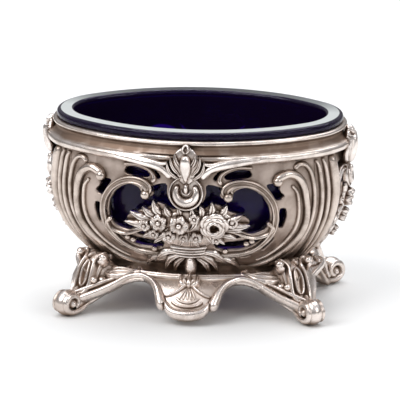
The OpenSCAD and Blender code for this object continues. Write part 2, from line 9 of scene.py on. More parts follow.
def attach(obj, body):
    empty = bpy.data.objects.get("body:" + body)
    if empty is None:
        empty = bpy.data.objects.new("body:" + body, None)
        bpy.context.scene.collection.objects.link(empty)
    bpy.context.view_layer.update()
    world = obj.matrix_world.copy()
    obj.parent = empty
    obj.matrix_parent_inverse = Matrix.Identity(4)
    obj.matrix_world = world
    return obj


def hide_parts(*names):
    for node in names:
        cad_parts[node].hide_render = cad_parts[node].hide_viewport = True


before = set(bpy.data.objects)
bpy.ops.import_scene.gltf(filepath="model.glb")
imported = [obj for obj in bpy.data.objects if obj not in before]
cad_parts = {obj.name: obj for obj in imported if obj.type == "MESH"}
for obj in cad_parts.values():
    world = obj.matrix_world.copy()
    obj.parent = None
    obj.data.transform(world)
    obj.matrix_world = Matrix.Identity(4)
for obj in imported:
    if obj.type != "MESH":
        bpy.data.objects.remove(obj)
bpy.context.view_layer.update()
print("frame loaded")

# All sizes below are in millimetres; a piece is brought to metres when it is finished
toMetres = 0.001
shownShare = 0.85  # how much of a wall's thickness is made
bowl = {
    "halfLength": 37.5, "halfWidth": 24, "seatTurn": math.radians(40),
    "rimTop": 51.5, "wallTop": 45, "foot": 12.5, "bellyHeight": 36.5,
    "bellyOut": 2.5, "neckIn": 0.6, "tuckIn": 11, "fullness": 2.3, "wall": 1.6,
}
skirt = {
    "top": 12.25, "drop": 10.25, "waistIn": 9.5, "run": 13.3, "fullness": 2.4, "thickness": 1.4,
    "lowest": 1.02, "rows": 26,
    "frontTurn": math.radians(27), "endTurns": (math.radians(58), math.radians(122)),
}

# The oval in plan: wide arcs along the sides, and tight ones round the ends
seat = bowl["seatTurn"]
arcGap = (bowl["halfLength"] - bowl["halfWidth"]) / (math.sin(seat) + math.cos(seat) - 1)
endCentre = arcGap * math.sin(seat)
sideCentre = arcGap * math.cos(seat)
endRadius = bowl["halfLength"] - endCentre
sideRadius = endRadius + arcGap


def onOval(turn, off):
    # A point round the oval: turn is 0 at the front and a quarter turn at the right end
    dx, dy = np.sin(turn), -np.cos(turn)
    onSide = np.abs(dx) <= math.sin(seat)
    radius = np.where(onSide, sideRadius, endRadius) + off
    x = np.where(onSide, 0, np.sign(dx) * endCentre) + radius * dx
    y = np.where(onSide, -np.sign(dy) * sideCentre, 0) + radius * dy
    return x, y, dx, dy


def wallOff(z):
    below = np.clip((bowl["bellyHeight"] - z) / (bowl["bellyHeight"] - bowl["foot"]), 0, 1.2)
    above = np.clip((z - bowl["bellyHeight"]) / (bowl["wallTop"] - bowl["bellyHeight"]), 0, 2)
    return bowl["bellyOut"] - (bowl["bellyOut"] + bowl["tuckIn"]) * below ** bowl["fullness"] - bowl["neckIn"] * above


def skirtShare(z):
    return np.clip((skirt["top"] - z) / skirt["drop"], 1e-5, 1.2) ** (1 / skirt["fullness"])


def skirtOff(z):
    return skirt["run"] * skirtShare(z) - skirt["waistIn"]


def standOff(turn, off, z, run, rise, out):
    # Moves out of a profile along its normal; run and rise point along the profile, upwards
    size = np.sqrt(run ** 2 + rise ** 2)
    x, y, dx, dy = onOval(turn, off + out * rise / size)
    return np.stack(np.broadcast_arrays(x, y, z - out * run / size), axis=-1)


def onWall(turn, z, out):
    run = (wallOff(z + 0.05) - wallOff(z - 0.05)) / 0.1
    return standOff(turn, wallOff(z), z, run, 1, out)


def onSkirt(turn, z, out):
    share = skirtShare(z)
    rise = skirt["drop"] * skirt["fullness"] * share ** (skirt["fullness"] - 1)
    return standOff(turn, skirtOff(z), z, -skirt["run"], rise, out)


def frontTurn(x, off):
    # Turn at which the oval has this x, seen from the front
    sideSine = x / (sideRadius + off)
    endSine = (np.abs(x) - endCentre) / (endRadius + off)
    onSide = np.abs(sideSine) <= math.sin(seat)
    return np.where(onSide, np.arcsin(np.clip(sideSine, -1, 1)), np.sign(x) * np.arcsin(np.clip(endSine, -1, 1)))


def endTurn(y, off):
    return math.pi / 2 + np.arcsin(np.clip(y / (endRadius + off), -1, 1))


def seenX(turn, off):
    return (sideRadius + off) * np.sin(turn)


def seenY(turn, off):
    return -(endRadius + off) * np.cos(turn)


def asSeen(onSurface, offAt, turnOf):
    # A surface by the place and height that are seen from a side
    return lambda place, z, out: onSurface(turnOf(place, offAt(z)), z, out)


frontWall, frontSkirt = asSeen(onWall, wallOff, frontTurn), asSeen(onSkirt, skirtOff, frontTurn)
endWall, endSkirt = asSeen(onWall, wallOff, endTurn), asSeen(onSkirt, skirtOff, endTurn)


def turnWall(degrees, z, out):
    return onWall(np.radians(degrees), z, out)


def turnSkirt(degrees, z, out):
    return onSkirt(np.radians(degrees), z, out)


def smoothLine(points, perSpan):
    # Catmull-Rom line through the given points, with all their columns
    p = np.array(points, float)
    p = np.vstack([2 * p[0] - p[1], p, 2 * p[-1] - p[-2]])
    t = np.linspace(0, len(points) - 1, (len(points) - 1) * perSpan + 1)
    i = np.minimum(t.astype(int), len(points) - 2)
    f = (t - i)[:, None]
    a, b, c, d = p[i], p[i + 1], p[i + 2], p[i + 3]
    return (2 * b + (c - a) * f + (2 * a - 5 * b + 4 * c - d) * f ** 2 + (3 * b - a - 3 * c + d) * f ** 3) / 2


def closedLine(outline):
    perSpan = 4
    ring = smoothLine([outline[-1], *outline, *outline[:2]], perSpan)[perSpan:-perSpan]
    return ring[:-1]


def mirrored(points, side):
    return [(p[0] * side, *p[1:]) for p in points]


def bothHalves(half):
    # A line from end to end, from its right half that starts in the middle
    return mirrored(half[:0:-1], -1) + half


# Cross-sections of the mouldings, from crest to root: place across and height, which is below 0 within the metal
sections = {name: bothHalves(half) for name, half in {
    "round": [(0, 1), (0.38, 0.92), (0.71, 0.71), (0.92, 0.38), (1, 0), (1, -1)],
    "double": [(0, 0.45), (0.22, 0.52), (0.48, 0.86), (0.72, 1), (0.93, 0.72), (1, 0.25), (1, -1)],
    "leaf": [(0, 0.42), (0.14, 0.72), (0.4, 0.9), (0.72, 0.62), (1, 0.05), (1, -1)],
    "petal": [(0, 0.35), (0.5, 0.72), (0.82, 1), (1, 0.55), (1, -1)],
    "volute": [(0, 1.42), (0.28, 1.3), (0.54, 0.95), (0.64, 0.6), (0.74, 0.95), (0.88, 0.95), (1, 0.5), (1.04, -0.3),
               (1, -1)],
    "arm": [(0, 1), (0.2, 0.9), (0.38, 0.5), (0.55, 0.25), (0.7, 0.2), (0.8, 0.38), (0.92, 0.35), (1, 0.1), (1, -0.3),
            (0.9, -1)],
}.items()}


def addGrid(bm, points, layer=None, values=None):
    # A sheet through rows of points, with a value at each if a layer is given
    rows, columns = points.shape[:2]
    for v in bmesh.ops.create_grid(bm, x_segments=rows - 1, y_segments=columns - 1, size=1)["verts"]:
        at = round((v.co.x + 1) / 2 * (rows - 1)), round((v.co.y + 1) / 2 * (columns - 1))
        if layer:
            v[layer] = float(values[at])
        v.co = points[at]


def addSweep(bm, centres, normals, halfWidths, heights, section, root=0.5):
    # Sweeps a section along a line whose up direction is given
    along = np.gradient(centres, axis=0)
    across = np.cross(normals, along)
    across /= np.linalg.norm(across, axis=1)[:, None] + 1e-9
    shape = np.array(sections[section] + sections[section][:1])
    side, up = shape[:, 0], shape[:, 1]
    lift = np.maximum(up, 0) * heights[:, None]
    sink = np.maximum(-up, 0) * root * np.minimum(1, heights / 0.3)[:, None]
    addGrid(bm, centres[:, None] + across[:, None] * (side * halfWidths[:, None])[..., None]
            + normals[:, None] * (lift - sink)[..., None])


def rounded(share):
    # Height of a rounded edge, at a share of its run
    return np.sqrt(np.clip(1 - (1 - np.minimum(share, 1)) ** 2, 0, 1))


def addMoulding(bm, surface, points, section="round", root=0.5, spacing=0.45):
    # Points hold place, place, half width, height and, if they stand clear, their height above the surface
    line = smoothLine([(*p, 0)[:5] for p in points], 12)
    place = surface(line[:, 0], line[:, 1], line[:, 4])
    far = np.concatenate([[0], np.cumsum(np.linalg.norm(np.diff(place, axis=0), axis=1))])
    length = far[-1]
    startRun, endRun = (min(abs(w), length / 2.2) for w in (line[0, 2], line[-1, 2]))
    closer = 1 - np.cos(np.linspace(0, math.pi / 2, 5))  # columns stand closer where the ends round off
    middle = np.linspace(startRun, length - endRun, max(4, int((length - startRun - endRun) / spacing) + 1))
    at = np.concatenate([startRun * closer, middle[1:-1], length - endRun * closer[::-1]])
    line = np.stack([np.interp(at, far, line[:, i]) for i in range(5)], axis=1)
    ease = rounded(at / startRun) * rounded((length - at) / endRun)
    centres = surface(line[:, 0], line[:, 1], line[:, 4])
    normals = surface(line[:, 0], line[:, 1], line[:, 4] + 0.5) - centres
    normals /= np.linalg.norm(normals, axis=1)[:, None]
    addSweep(bm, centres, normals, line[:, 2] * ease, line[:, 3] * ease, section, root)


def addLeaf(bm, surface, root, tip, width, height, bend, lift=0.6, lobes=3, base=0.0):
    # A leaf with a sunk vein, lobed sides and a raised tip; bend curves it sideways
    a, b = np.array(root, float), np.array(tip, float)
    sideways = np.array([a[1] - b[1], b[0] - a[0]]) * bend
    t = np.linspace(0, 1, 13)
    place = a + (b - a) * t[:, None] + sideways * np.sin(math.pi * t)[:, None]
    body = np.sin(math.pi * np.clip(t, 0.02, 0.985) ** 0.75) ** 0.8
    lobe = 1 + 0.22 * np.abs(np.sin(math.pi * lobes * t))
    halfWidth = np.maximum(width * body * lobe, 0.08)
    points = zip(*place.T, halfWidth, height * (0.35 + 0.65 * body), base + lift * t ** 1.5)
    addMoulding(bm, surface, points, "leaf", root=0.5 + base + lift * 0.5, spacing=0.3)


def addLeaves(bm, surface, leaves, side=1, lift=0.6, lobes=3, base=0.0):
    for root, tip, width, height, bend in leaves:
        addLeaf(bm, surface, *mirrored((root, tip), side), width, height, bend * side, lift, lobes, base)


def addBall(bm, place, radius, squash=(1, 1, 1), turn=0):
    matrix = Matrix.Translation(Vector(place)) @ Matrix.Rotation(turn, 4, "Z") @ Matrix.Diagonal((*squash, 1))
    bmesh.ops.create_icosphere(bm, subdivisions=3, radius=radius, matrix=matrix)


def pointOn(surface, a, b, out=0):
    return surface(*(np.array([float(s)]) for s in (a, b, out)))[0]


def addBerry(bm, surface, a, b, radius, out=0.3):
    addBall(bm, pointOn(surface, a, b, out), radius)


def flatAt(surface, a, b, out):
    # A flat place on a surface: across, up and away from it
    centre = pointOn(surface, a, b, out)
    away = pointOn(surface, a, b, out + 0.5) - centre
    away /= np.linalg.norm(away)
    up = pointOn(surface, a, b + 0.2, out) - centre
    up -= away * (up @ away)
    up /= np.linalg.norm(up)
    across = np.cross(up, away)
    if across @ (pointOn(surface, a + 0.2, b, out) - centre) < 0:
        across = -across
    return lambda p, q, o: (centre + np.asarray(p)[..., None] * across + np.asarray(q)[..., None] * up
                            + np.asarray(o)[..., None] * away)


# Petals as shares of a flower's radius and height, and the rings of the rose: place, width, lift, petals, first turn
flower = {
    "petals": 6,
    "petal": [(0.12, 0.16, 0.3, 0.35), (0.42, 0.3, 0.42, 0.5), (0.72, 0.4, 0.45, 0.52), (0.98, 0.26, 0.3, 0.3)],
    "roseRings": [(0.86, 0.24, 0.3, 5, 10), (0.66, 0.21, 0.58, 4, 50), (0.47, 0.14, 0.8, 3, 20)],
}


def addDaisy(bm, surface, a, b, radius, height, turn):
    flat = flatAt(surface, a, b, 0.5)
    for k in range(flower["petals"]):
        way = turn + 2 * math.pi * k / flower["petals"]
        c, s = math.cos(way), math.sin(way)
        points = [(c * r * radius, s * r * radius, w * radius, height * h, height * o)
                  for r, w, h, o in flower["petal"]]
        addMoulding(bm, flat, points, "petal", root=height * 0.5, spacing=0.3)
    addBall(bm, flat(0, 0, height * 0.7), radius * 0.27)


def addRose(bm, surface, a, b, radius, height):
    # Overlapping petals round a hollow middle
    flat = flatAt(surface, a, b, 0.6)
    for r, w, o, count, start in flower["roseRings"]:
        for k in range(count):
            middle = math.radians(start + 360 * k / count)
            reach = math.pi / count * 1.25
            points = []
            for t in np.linspace(-1, 1, 7):
                way = middle + reach * t
                grow = 1 - 0.14 * t - 0.12 * t * t
                points.append((math.cos(way) * r * radius * grow, math.sin(way) * r * radius * grow,
                               w * radius * (1 - 0.45 * t * t), height * 0.22, height * (o - 0.12 * t * t)))
            addMoulding(bm, flat, points, root=height * o * 0.8, spacing=0.35)


def arcLine(x, z, r, reach, w, h, steps, out):
    # A crescent round a middle, up to reach degrees to each side, thickest at its foot
    points = []
    for t in np.linspace(0, 1, steps):
        way = math.radians(2 * reach * t - reach)
        swell = 0.45 + 0.55 * math.sin(math.pi * t)
        points.append((x + r * math.sin(way), z - r * math.cos(way), w * swell, h * (0.6 + 0.4 * swell), out))
    return points


def edgeDistance(points, outline):
    # Signed distance from flat points to a closed outline, above 0 outside, and the nearest place on it
    a = np.array(outline, float)
    b = np.roll(a, -1, axis=0)
    d = b - a
    t = np.clip(((points[:, None] - a) * d).sum(-1) / (d * d).sum(-1), 0, 1)
    near = a + d * t[..., None]
    gap = np.linalg.norm(points[:, None] - near, axis=-1)
    best = gap.argmin(axis=1)
    rows = np.arange(len(points))
    crossing = (a[:, 1] > points[:, 1:2]) != (b[:, 1] > points[:, 1:2])
    atX = a[:, 0] + (points[:, 1:2] - a[:, 1]) / np.where(d[:, 1] == 0, 1e-9, d[:, 1]) * d[:, 0]
    inside = (crossing & (points[:, :1] < atX)).sum(axis=1) % 2 == 1
    return np.where(inside, -1, 1) * gap[rows, best], near[rows, best]


def faceOutwards(bm):
    bmesh.ops.recalc_face_normals(bm, faces=bm.faces)


def thicken(bm, thickness):
    bmesh.ops.solidify(bm, geom=bm.faces[:], thickness=thickness)


def flatSheet(columns, rows):
    # A sheet of its own, and its points as shares across and up
    sheet = bmesh.new()
    bmesh.ops.create_grid(sheet, x_segments=columns, y_segments=rows, size=1)
    return sheet, np.array([v.co[:2] for v in sheet.verts]) * 0.5 + 0.5


def shapeSheet(sheet, points, isGone):
    # Moves a sheet's points to their places, and takes out the faces that are told by their points' numbers
    for v, point in zip(sheet.verts, points):
        v.co = point
    sheet.verts.ensure_lookup_table()
    gone = [f for f in sheet.faces if isGone([v.index for v in f.verts])]
    bmesh.ops.delete(sheet, geom=gone, context="FACES")
    faceOutwards(sheet)


def joinIn(bm, other):
    spare = bpy.data.meshes.new("spare")
    other.to_mesh(spare)
    other.free()
    bm.from_mesh(spare)
    bpy.data.meshes.remove(spare)


def addPlate(bm, surface, outline, height, cell, depth, dome=0.0):
    # A plate that fills an outline on a surface, with eased edges and its own thickness
    line = closedLine(outline)
    low, high = line.min(axis=0), line.max(axis=0)
    columns, rows = (max(3, int(s / cell)) for s in high - low)
    plate, shares = flatSheet(columns, rows)
    flat = low + (high - low) * shares
    gap, near = edgeDistance(flat, line)
    snap = np.abs(gap) < cell * 0.6
    flat[snap], gap[snap] = near[snap], 0
    deep = np.clip(-gap, 0, None)
    out = height * rounded(deep / 0.7) + dome * np.minimum(deep / 4, 1)
    shapeSheet(plate, surface(flat[:, 0], flat[:, 1], out), lambda corners: (gap[corners] > 0).any())
    middle = line.mean(axis=0)
    away = Vector(pointOn(surface, *middle, 1) - pointOn(surface, *middle))
    if sum(f.normal.dot(away) for f in plate.faces) < 0:
        bmesh.ops.reverse_faces(plate, faces=plate.faces)
    thicken(plate, depth)
    joinIn(bm, plate)


def closeUp(bm):
    bmesh.ops.remove_doubles(bm, verts=bm.verts, dist=0.0004)
    faceOutwards(bm)


def finishPiece(bm, name, node, material, flip=(1, 1), body="frame"):
    # Makes a piece from a front right shape, mirrored to its own side, in metres
    own = bm.copy()
    bmesh.ops.scale(own, verts=own.verts, vec=(flip[0] * toMetres, flip[1] * toMetres, toMetres))
    if flip[0] * flip[1] < 0:
        bmesh.ops.reverse_faces(own, faces=own.faces)
    mesh = bpy.data.meshes.new(name)
    own.to_mesh(mesh)
    own.free()
    mesh.shade_smooth()
    mesh.materials.append(material)
    piece = bpy.data.objects.new(name, mesh)
    bpy.context.scene.collection.objects.link(piece)
    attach(piece, body)
    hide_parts(node)


longSides = {"front": (1, 1), "back": (1, -1)}
ends = {"right": (1, 1), "left": (-1, 1)}
corners = {"front_right": (1, 1), "front_left": (-1, 1), "back_right": (1, -1), "back_left": (-1, -1)}


def finishEach(bm, places, name, node, material):
    # The same piece for each place, which is filled into both names
    for place, flip in places.items():
        finishPiece(bm, name.format(place), node.format(place), material, flip)
    bm.free()


def feed(links, value, socket):
    # Links a node's output, or sets a plain value
    if isinstance(value, bpy.types.NodeSocket):
        links.new(value, socket)
    else:
        socket.default_value = value


def mixNode(nodes, links, kind, factor, a, b):
    mix = nodes.new("ShaderNodeMix")
    mix.data_type = kind
    first, second, result = {"RGBA": (6, 7, 2), "FLOAT": (2, 3, 0)}[kind]
    for value, at in ((factor, 0), (a, first), (b, second)):
        feed(links, value, mix.inputs[at])
    return mix.outputs[result]


def mathNode(nodes, links, operation, a, b):
    sums = nodes.new("ShaderNodeMath")
    sums.operation = operation
    sums.use_clamp = True
    feed(links, a, sums.inputs[0])
    feed(links, b, sums.inputs[1])
    return sums.outputs[0]


def rangeNode(nodes, links, source, low, high, toLow=0.0, toHigh=1.0):
    span = nodes.new("ShaderNodeMapRange")
    names = ("Value", "From Min", "From Max", "To Min", "To Max")
    for name, value in zip(names, (source, low, high, toLow, toHigh)):
        feed(links, value, span.inputs[name])
    return span.outputs["Result"]


def noiseNode(nodes, links, place, scale, detail):
    noise = nodes.new("ShaderNodeTexNoise")
    for value, name in ((place, "Vector"), (scale, "Scale"), (detail, "Detail")):
        feed(links, value, noise.inputs[name])
    return noise.outputs["Fac"]


def newMaterial(name):
    material = bpy.data.materials.new(name)
    material.use_nodes = True
    nodes, links = material.node_tree.nodes, material.node_tree.links
    return material, nodes, links, nodes["Principled BSDF"]


camera = {"azimuth": 8, "elevation": 15.3, "distance": 2.0, "aim": (0.0, 0.0, 0.0265), "lens": 640}


def setCamera():
    az, el = math.radians(camera["azimuth"]), math.radians(camera["elevation"])
    back = Vector((math.sin(az) * math.cos(el), -math.cos(az) * math.cos(el), math.sin(el)))
    data = bpy.data.cameras.new("camera")
    data.lens = camera["lens"]
    data.clip_start, data.clip_end = 0.1, 20
    shot = bpy.data.objects.new("camera", data)
    bpy.context.scene.collection.objects.link(shot)
    shot.location = Vector(camera["aim"]) + back * camera["distance"]
    shot.rotation_euler = (-back).to_track_quat("-Z", "Y").to_euler()
    bpy.context.scene.camera = shot


studio = {
    "floorColor": (0.9, 0.9, 0.89, 1), "low": (0.16, 0.15, 0.14, 1), "high": (0.62, 0.64, 0.68, 1),
    "lamps": [("key", (-0.55, -0.5, 0.8), 0.8, 6.5), ("fill", (0.75, -0.45, 0.5), 0.45, 1.6),
              ("top", (0.1, 0.35, 0.9), 0.9, 5.5)],
}


def setStudio():
    floorMaterial, _, _, shader = newMaterial("paleFloor")
    shader.inputs["Base Color"].default_value = studio["floorColor"]
    shader.inputs["Roughness"].default_value = 0.6
    bm = bmesh.new()
    bmesh.ops.create_grid(bm, x_segments=1, y_segments=1, size=6)
    mesh = bpy.data.meshes.new("floor")
    bm.to_mesh(mesh)
    bm.free()
    mesh.materials.append(floorMaterial)
    floor = bpy.data.objects.new("floor", mesh)
    bpy.context.scene.collection.objects.link(floor)
    world = bpy.data.worlds.new("studio")
    bpy.context.scene.world = world
    world.use_nodes = True
    nodes, links = world.node_tree.nodes, world.node_tree.links
    split = nodes.new("ShaderNodeSeparateXYZ")
    links.new(nodes.new("ShaderNodeTexCoord").outputs["Generated"], split.inputs[0])
    climb = rangeNode(nodes, links, split.outputs["Z"], 0.0, 0.75)
    background = nodes["Background"]
    links.new(mixNode(nodes, links, "RGBA", climb, studio["low"], studio["high"]), background.inputs["Color"])
    background.inputs["Strength"].default_value = 1.0
    for name, place, size, power in studio["lamps"]:
        data = bpy.data.lights.new(name, "AREA")
        data.shape, data.size, data.energy = "SQUARE", size, power
        lamp = bpy.data.objects.new(name, data)
        lamp.location = place
        lamp.rotation_euler = (Vector(place) - Vector((0, 0, 0.02))).to_track_quat("Z", "Y").to_euler()
        bpy.context.scene.collection.objects.link(lamp)
    bpy.context.scene.view_settings.view_transform = "Standard"


setCamera()
setStudio()
print("camera and studio set")

# Bright colour, colour of tarnish and painted shade, roughness, how much the hollows darken with tarnish and painted
# shade and, for a cove, its band of heights in metres
silverTones = {
    "rim": ((0.82, 0.73, 0.67, 1), (0.23, 0.16, 0.12, 1), 0.2, 1, (0.0474, 0.0506)),
    "ground": ((0.5, 0.41, 0.36, 1), (0.17, 0.12, 0.09, 1), 0.3, 1.1),
    "body": ((0.72, 0.62, 0.555, 1), (0.2, 0.145, 0.11, 1), 0.19, 1.12),
    "ornament": ((0.96, 0.88, 0.83, 1), (0.22, 0.15, 0.11, 1), 0.18, 0.95),
    # The base gets lighter colours and hollows that darken less, to lift the shade under the bowl: painted light
    "base": ((0.91, 0.81, 0.75, 1), (0.36, 0.27, 0.21, 1), 0.21, 0.9),
}
silverLook = {
    "hollowReach": 0.0026, "hollow": (0.3, 0.92), "cloudScale": 240, "cloud": (0.42, 0.72), "cloudMost": 0.5,
    "coveStops": ((0.2, 0.75), (0.8, 0.85)), "grainScale": 1900, "grainStrength": 0.35, "grainHeight": 0.00012,
}


def silverMaterial(name, bright, tarnishAndShadeColour, roughness, hollowTarnishAndShade, cove=None):
    # Silver: bright where it stands out, brown in the hollows from tarnish and painted shade, in soft clouds of
    # tarnish, and darker in a band of heights
    material, nodes, links, shader = newMaterial(name)
    shader.inputs["Metallic"].default_value = 1.0
    place = nodes.new("ShaderNodeTexCoord").outputs["Object"]
    # Ambient occlusion paints shade into the hollows and between parts, mixed with their tarnish
    hollow = nodes.new("ShaderNodeAmbientOcclusion")
    hollow.samples = 8
    hollow.inputs["Distance"].default_value = silverLook["hollowReach"]
    paintedShadeAndTarnish = rangeNode(nodes, links, hollow.outputs["AO"], *silverLook["hollow"], hollowTarnishAndShade, 0.0)
    cloud = noiseNode(nodes, links, place, silverLook["cloudScale"], 5)
    patch = rangeNode(nodes, links, cloud, *silverLook["cloud"], 0.0, silverLook["cloudMost"])
    dark = mathNode(nodes, links, "ADD", paintedShadeAndTarnish, patch)
    if cove:
        split = nodes.new("ShaderNodeSeparateXYZ")
        links.new(place, split.inputs[0])
        ramp = nodes.new("ShaderNodeValToRGB")
        links.new(rangeNode(nodes, links, split.outputs["Z"], *cove), ramp.inputs["Fac"])
        for end in ramp.color_ramp.elements:
            end.color = (0, 0, 0, 1)
        for stop, value in silverLook["coveStops"]:
            ramp.color_ramp.elements.new(stop).color = (value, value, value, 1)
        dark = mathNode(nodes, links, "ADD", dark, ramp.outputs["Color"])
    links.new(mixNode(nodes, links, "RGBA", dark, bright, tarnishAndShadeColour), shader.inputs["Base Color"])
    links.new(mixNode(nodes, links, "FLOAT", dark, roughness, roughness + 0.3), shader.inputs["Roughness"])
    bump = nodes.new("ShaderNodeBump")
    bump.inputs["Strength"].default_value = silverLook["grainStrength"]
    bump.inputs["Distance"].default_value = silverLook["grainHeight"]
    links.new(noiseNode(nodes, links, place, silverLook["grainScale"], 3), bump.inputs["Height"])
    links.new(bump.outputs["Normal"], shader.inputs["Normal"])
    return material


glassLook = {
    "ior": 1.52, "tint": (0.35, 0.35, 0.42, 1), "color": (0.2, 0.07, 0.5, 1), "depthColor": (0.36, 0.0, 0.66, 1),
    "density": 2300, "ring": (0.5, 0.52, 0.51, 1), "ringInShade": (0.01, 0.01, 0.015, 1), "ringFrom": 0.06,
}


def glassMaterial():
    # Dense cobalt glass, clear only where it is thin, with a ground ring on top that is painted darker towards the
    # back, a painted shade
    material, nodes, links, shader = newMaterial("cobaltGlass")
    shader.inputs["IOR"].default_value = glassLook["ior"]
    shader.inputs["Specular Tint"].default_value = glassLook["tint"]
    attribute = nodes.new("ShaderNodeAttribute")
    attribute.attribute_name = "frostAndShade"
    frostAndShade = attribute.outputs["Fac"]
    ground = mathNode(nodes, links, "GREATER_THAN", frostAndShade, glassLook["ringFrom"])
    pale = mixNode(nodes, links, "RGBA", frostAndShade, glassLook["ringInShade"], glassLook["ring"])
    links.new(mixNode(nodes, links, "RGBA", ground, glassLook["color"], pale), shader.inputs["Base Color"])
    links.new(mixNode(nodes, links, "FLOAT", ground, 0.03, 0.45), shader.inputs["Roughness"])
    links.new(mixNode(nodes, links, "FLOAT", ground, 0.97, 0.0), shader.inputs["Transmission Weight"])
    depth = nodes.new("ShaderNodeVolumeAbsorption")
    depth.inputs["Color"].default_value = glassLook["depthColor"]
    depth.inputs["Density"].default_value = glassLook["density"]
    links.new(depth.outputs["Volume"], nodes["Material Output"].inputs["Volume"])
    return material


silver = {name: silverMaterial(name + "Silver", *tone) for name, tone in silverTones.items()}
cobalt = glassMaterial()

# The pierced walls of the bowl: the right half of their openings, and the part that rises towards the ribs, as seen
walls = {
    "cell": 0.3, "rise": 0.5, "riseRun": 0.8, "frontGrid": (230, 120), "endGrid": (110, 110),
    "frontOpenings": [
        [(15.8, 38.5), (12.8, 37.5), (12.4, 36.2), (10.5, 35.3), (9.2, 36.6), (9.6, 38.5), (5.6, 39.5), (5.3, 36.9),
         (4.5, 34.9), (2.4, 33.1), (3.6, 32.2), (7.9, 34), (11.1, 32), (15, 30.4), (16.7, 28.8), (14.6, 26.5),
         (16.5, 24.5), (20.3, 25.5), (22.1, 28.4), (22.1, 31.4), (21.4, 34.1), (19.3, 36.9)],
        [(16.9, 43.1), (13.5, 43.4), (10.3, 42.1), (10.7, 40.8), (13.7, 40.8), (17.1, 41.3)],
        [(12.4, 44), (9.4, 43.5), (7.5, 41.9), (7.3, 40.6), (8.3, 40.8), (9.6, 42.7)],
        [(24.9, 39.5), (22.9, 39.2), (21.2, 38.8), (22.5, 36.7), (24, 34.3), (25.9, 35.3), (24.6, 37.4)],
        [(26.1, 31.7), (24.8, 32), (24.4, 30.5), (24.4, 28.6), (24, 26.2), (25.1, 26), (25.9, 27.8), (26.4, 29.9)],
        [(22.7, 22.6), (21.8, 23.1), (18.9, 19.3), (19.9, 19.2)],
        [(19.7, 23.2), (16.5, 23.1), (13.5, 22.7), (9.9, 22.4), (6.9, 22), (7.6, 19.7), (11.4, 19.4), (14.4, 19.6),
         (17.4, 21)],
        [(13.3, 25), (11.4, 25.3), (11.3, 23.4), (12.8, 23.4), (14.4, 24)],
        [(16.3, 17.5), (14.3, 17.9), (11.6, 17.5), (13.1, 16.6), (15, 16.6)],
    ],
    "endOpenings": [
        [(2.4, 39), (5.2, 39.2), (7, 36.6), (7.4, 32.5), (6.8, 28.6), (4.6, 26), (3.6, 28.4), (4.6, 31.5),
         (3.8, 34.9), (2.2, 36.9)],
        [(2, 21.9), (5.6, 23.1), (6.6, 25), (7.4, 23.6), (5.4, 21), (2.2, 20.3)],
        [(2.4, 42.4), (6.2, 41.8), (7.2, 40.5), (2.9, 40.8)],
    ],
    "frontRise": [(24.5, 47), (25.2, 41.6), (28.3, 41.2), (30, 38.5), (30.7, 35.3), (30.9, 32), (30.4, 27.1),
                  (28.9, 23.6), (26.6, 20.6), (23.4, 17.9), (20.3, 15.8), (16.5, 14.3), (12.8, 13.4), (12, 11),
                  (50, 11), (50, 47)],
    "endRise": [(9.8, 47), (9.7, 43.5), (9.5, 38.5), (9.1, 32.6), (8.4, 26.5), (6.9, 21.3), (5, 17.4), (3, 14.5),
                (2.9, 11), (40, 11), (40, 47)],
}
# Heights of the rows, a little closer together towards the rim
wallHeights = bowl["foot"] + (bowl["wallTop"] + 0.3 - bowl["foot"]) * np.linspace(0, 1, 60) ** 0.92


def piercedWall(grid, span, view, turnOf, openings, raised):
    # A curved wall over turns and heights, with openings drawn as they are seen from its side
    wall, shares = flatSheet(*grid)
    turn = span[0] + (span[1] - span[0]) * shares[:, 0]
    z = np.interp(shares[:, 1], np.linspace(0, 1, len(wallHeights)), wallHeights)
    seen = np.stack([view(turn, wallOff(z)), z], axis=1)
    outside = np.full(len(shares), np.inf)
    for outline in openings + [mirrored(o[::-1], -1) for o in openings]:
        line = closedLine(outline)
        low, high = line.min(axis=0) - 1, line.max(axis=0) + 1
        close = np.flatnonzero(((seen > low) & (seen < high)).all(axis=1))
        gap, near = edgeDistance(seen[close], line)
        snap = np.abs(gap) < walls["cell"] * 0.55
        seen[close[snap]] = near[snap]
        gap[snap] = 0
        outside[close] = np.minimum(outside[close], gap)
        moved = close[snap]
        turn[moved] = turnOf(seen[moved, 0], wallOff(seen[moved, 1]))
        z[moved] = seen[moved, 1]
    rise = np.clip(-edgeDistance(np.abs(seen), raised)[0] / walls["riseRun"], 0, 1)
    points = onWall(turn, z, walls["rise"] * rise * rise * (3 - 2 * rise))
    shapeSheet(wall, points, lambda corners: (outside[corners] <= 0).all())
    thicken(wall, bowl["wall"] * shownShare)
    faceOutwards(wall)
    return wall


frontPierced = piercedWall(
    walls["frontGrid"], (-seat, seat), seenX, frontTurn, walls["frontOpenings"], walls["frontRise"])
endPierced = piercedWall(
    walls["endGrid"], (seat, math.pi - seat), seenY, endTurn, walls["endOpenings"], walls["endRise"])
finishEach(frontPierced, longSides, "{}_openwork", "{}_panel", silver["ground"])
finishEach(endPierced, ends, "{}_openwork", "{}_panel", silver["ground"])
print("pierced walls made")

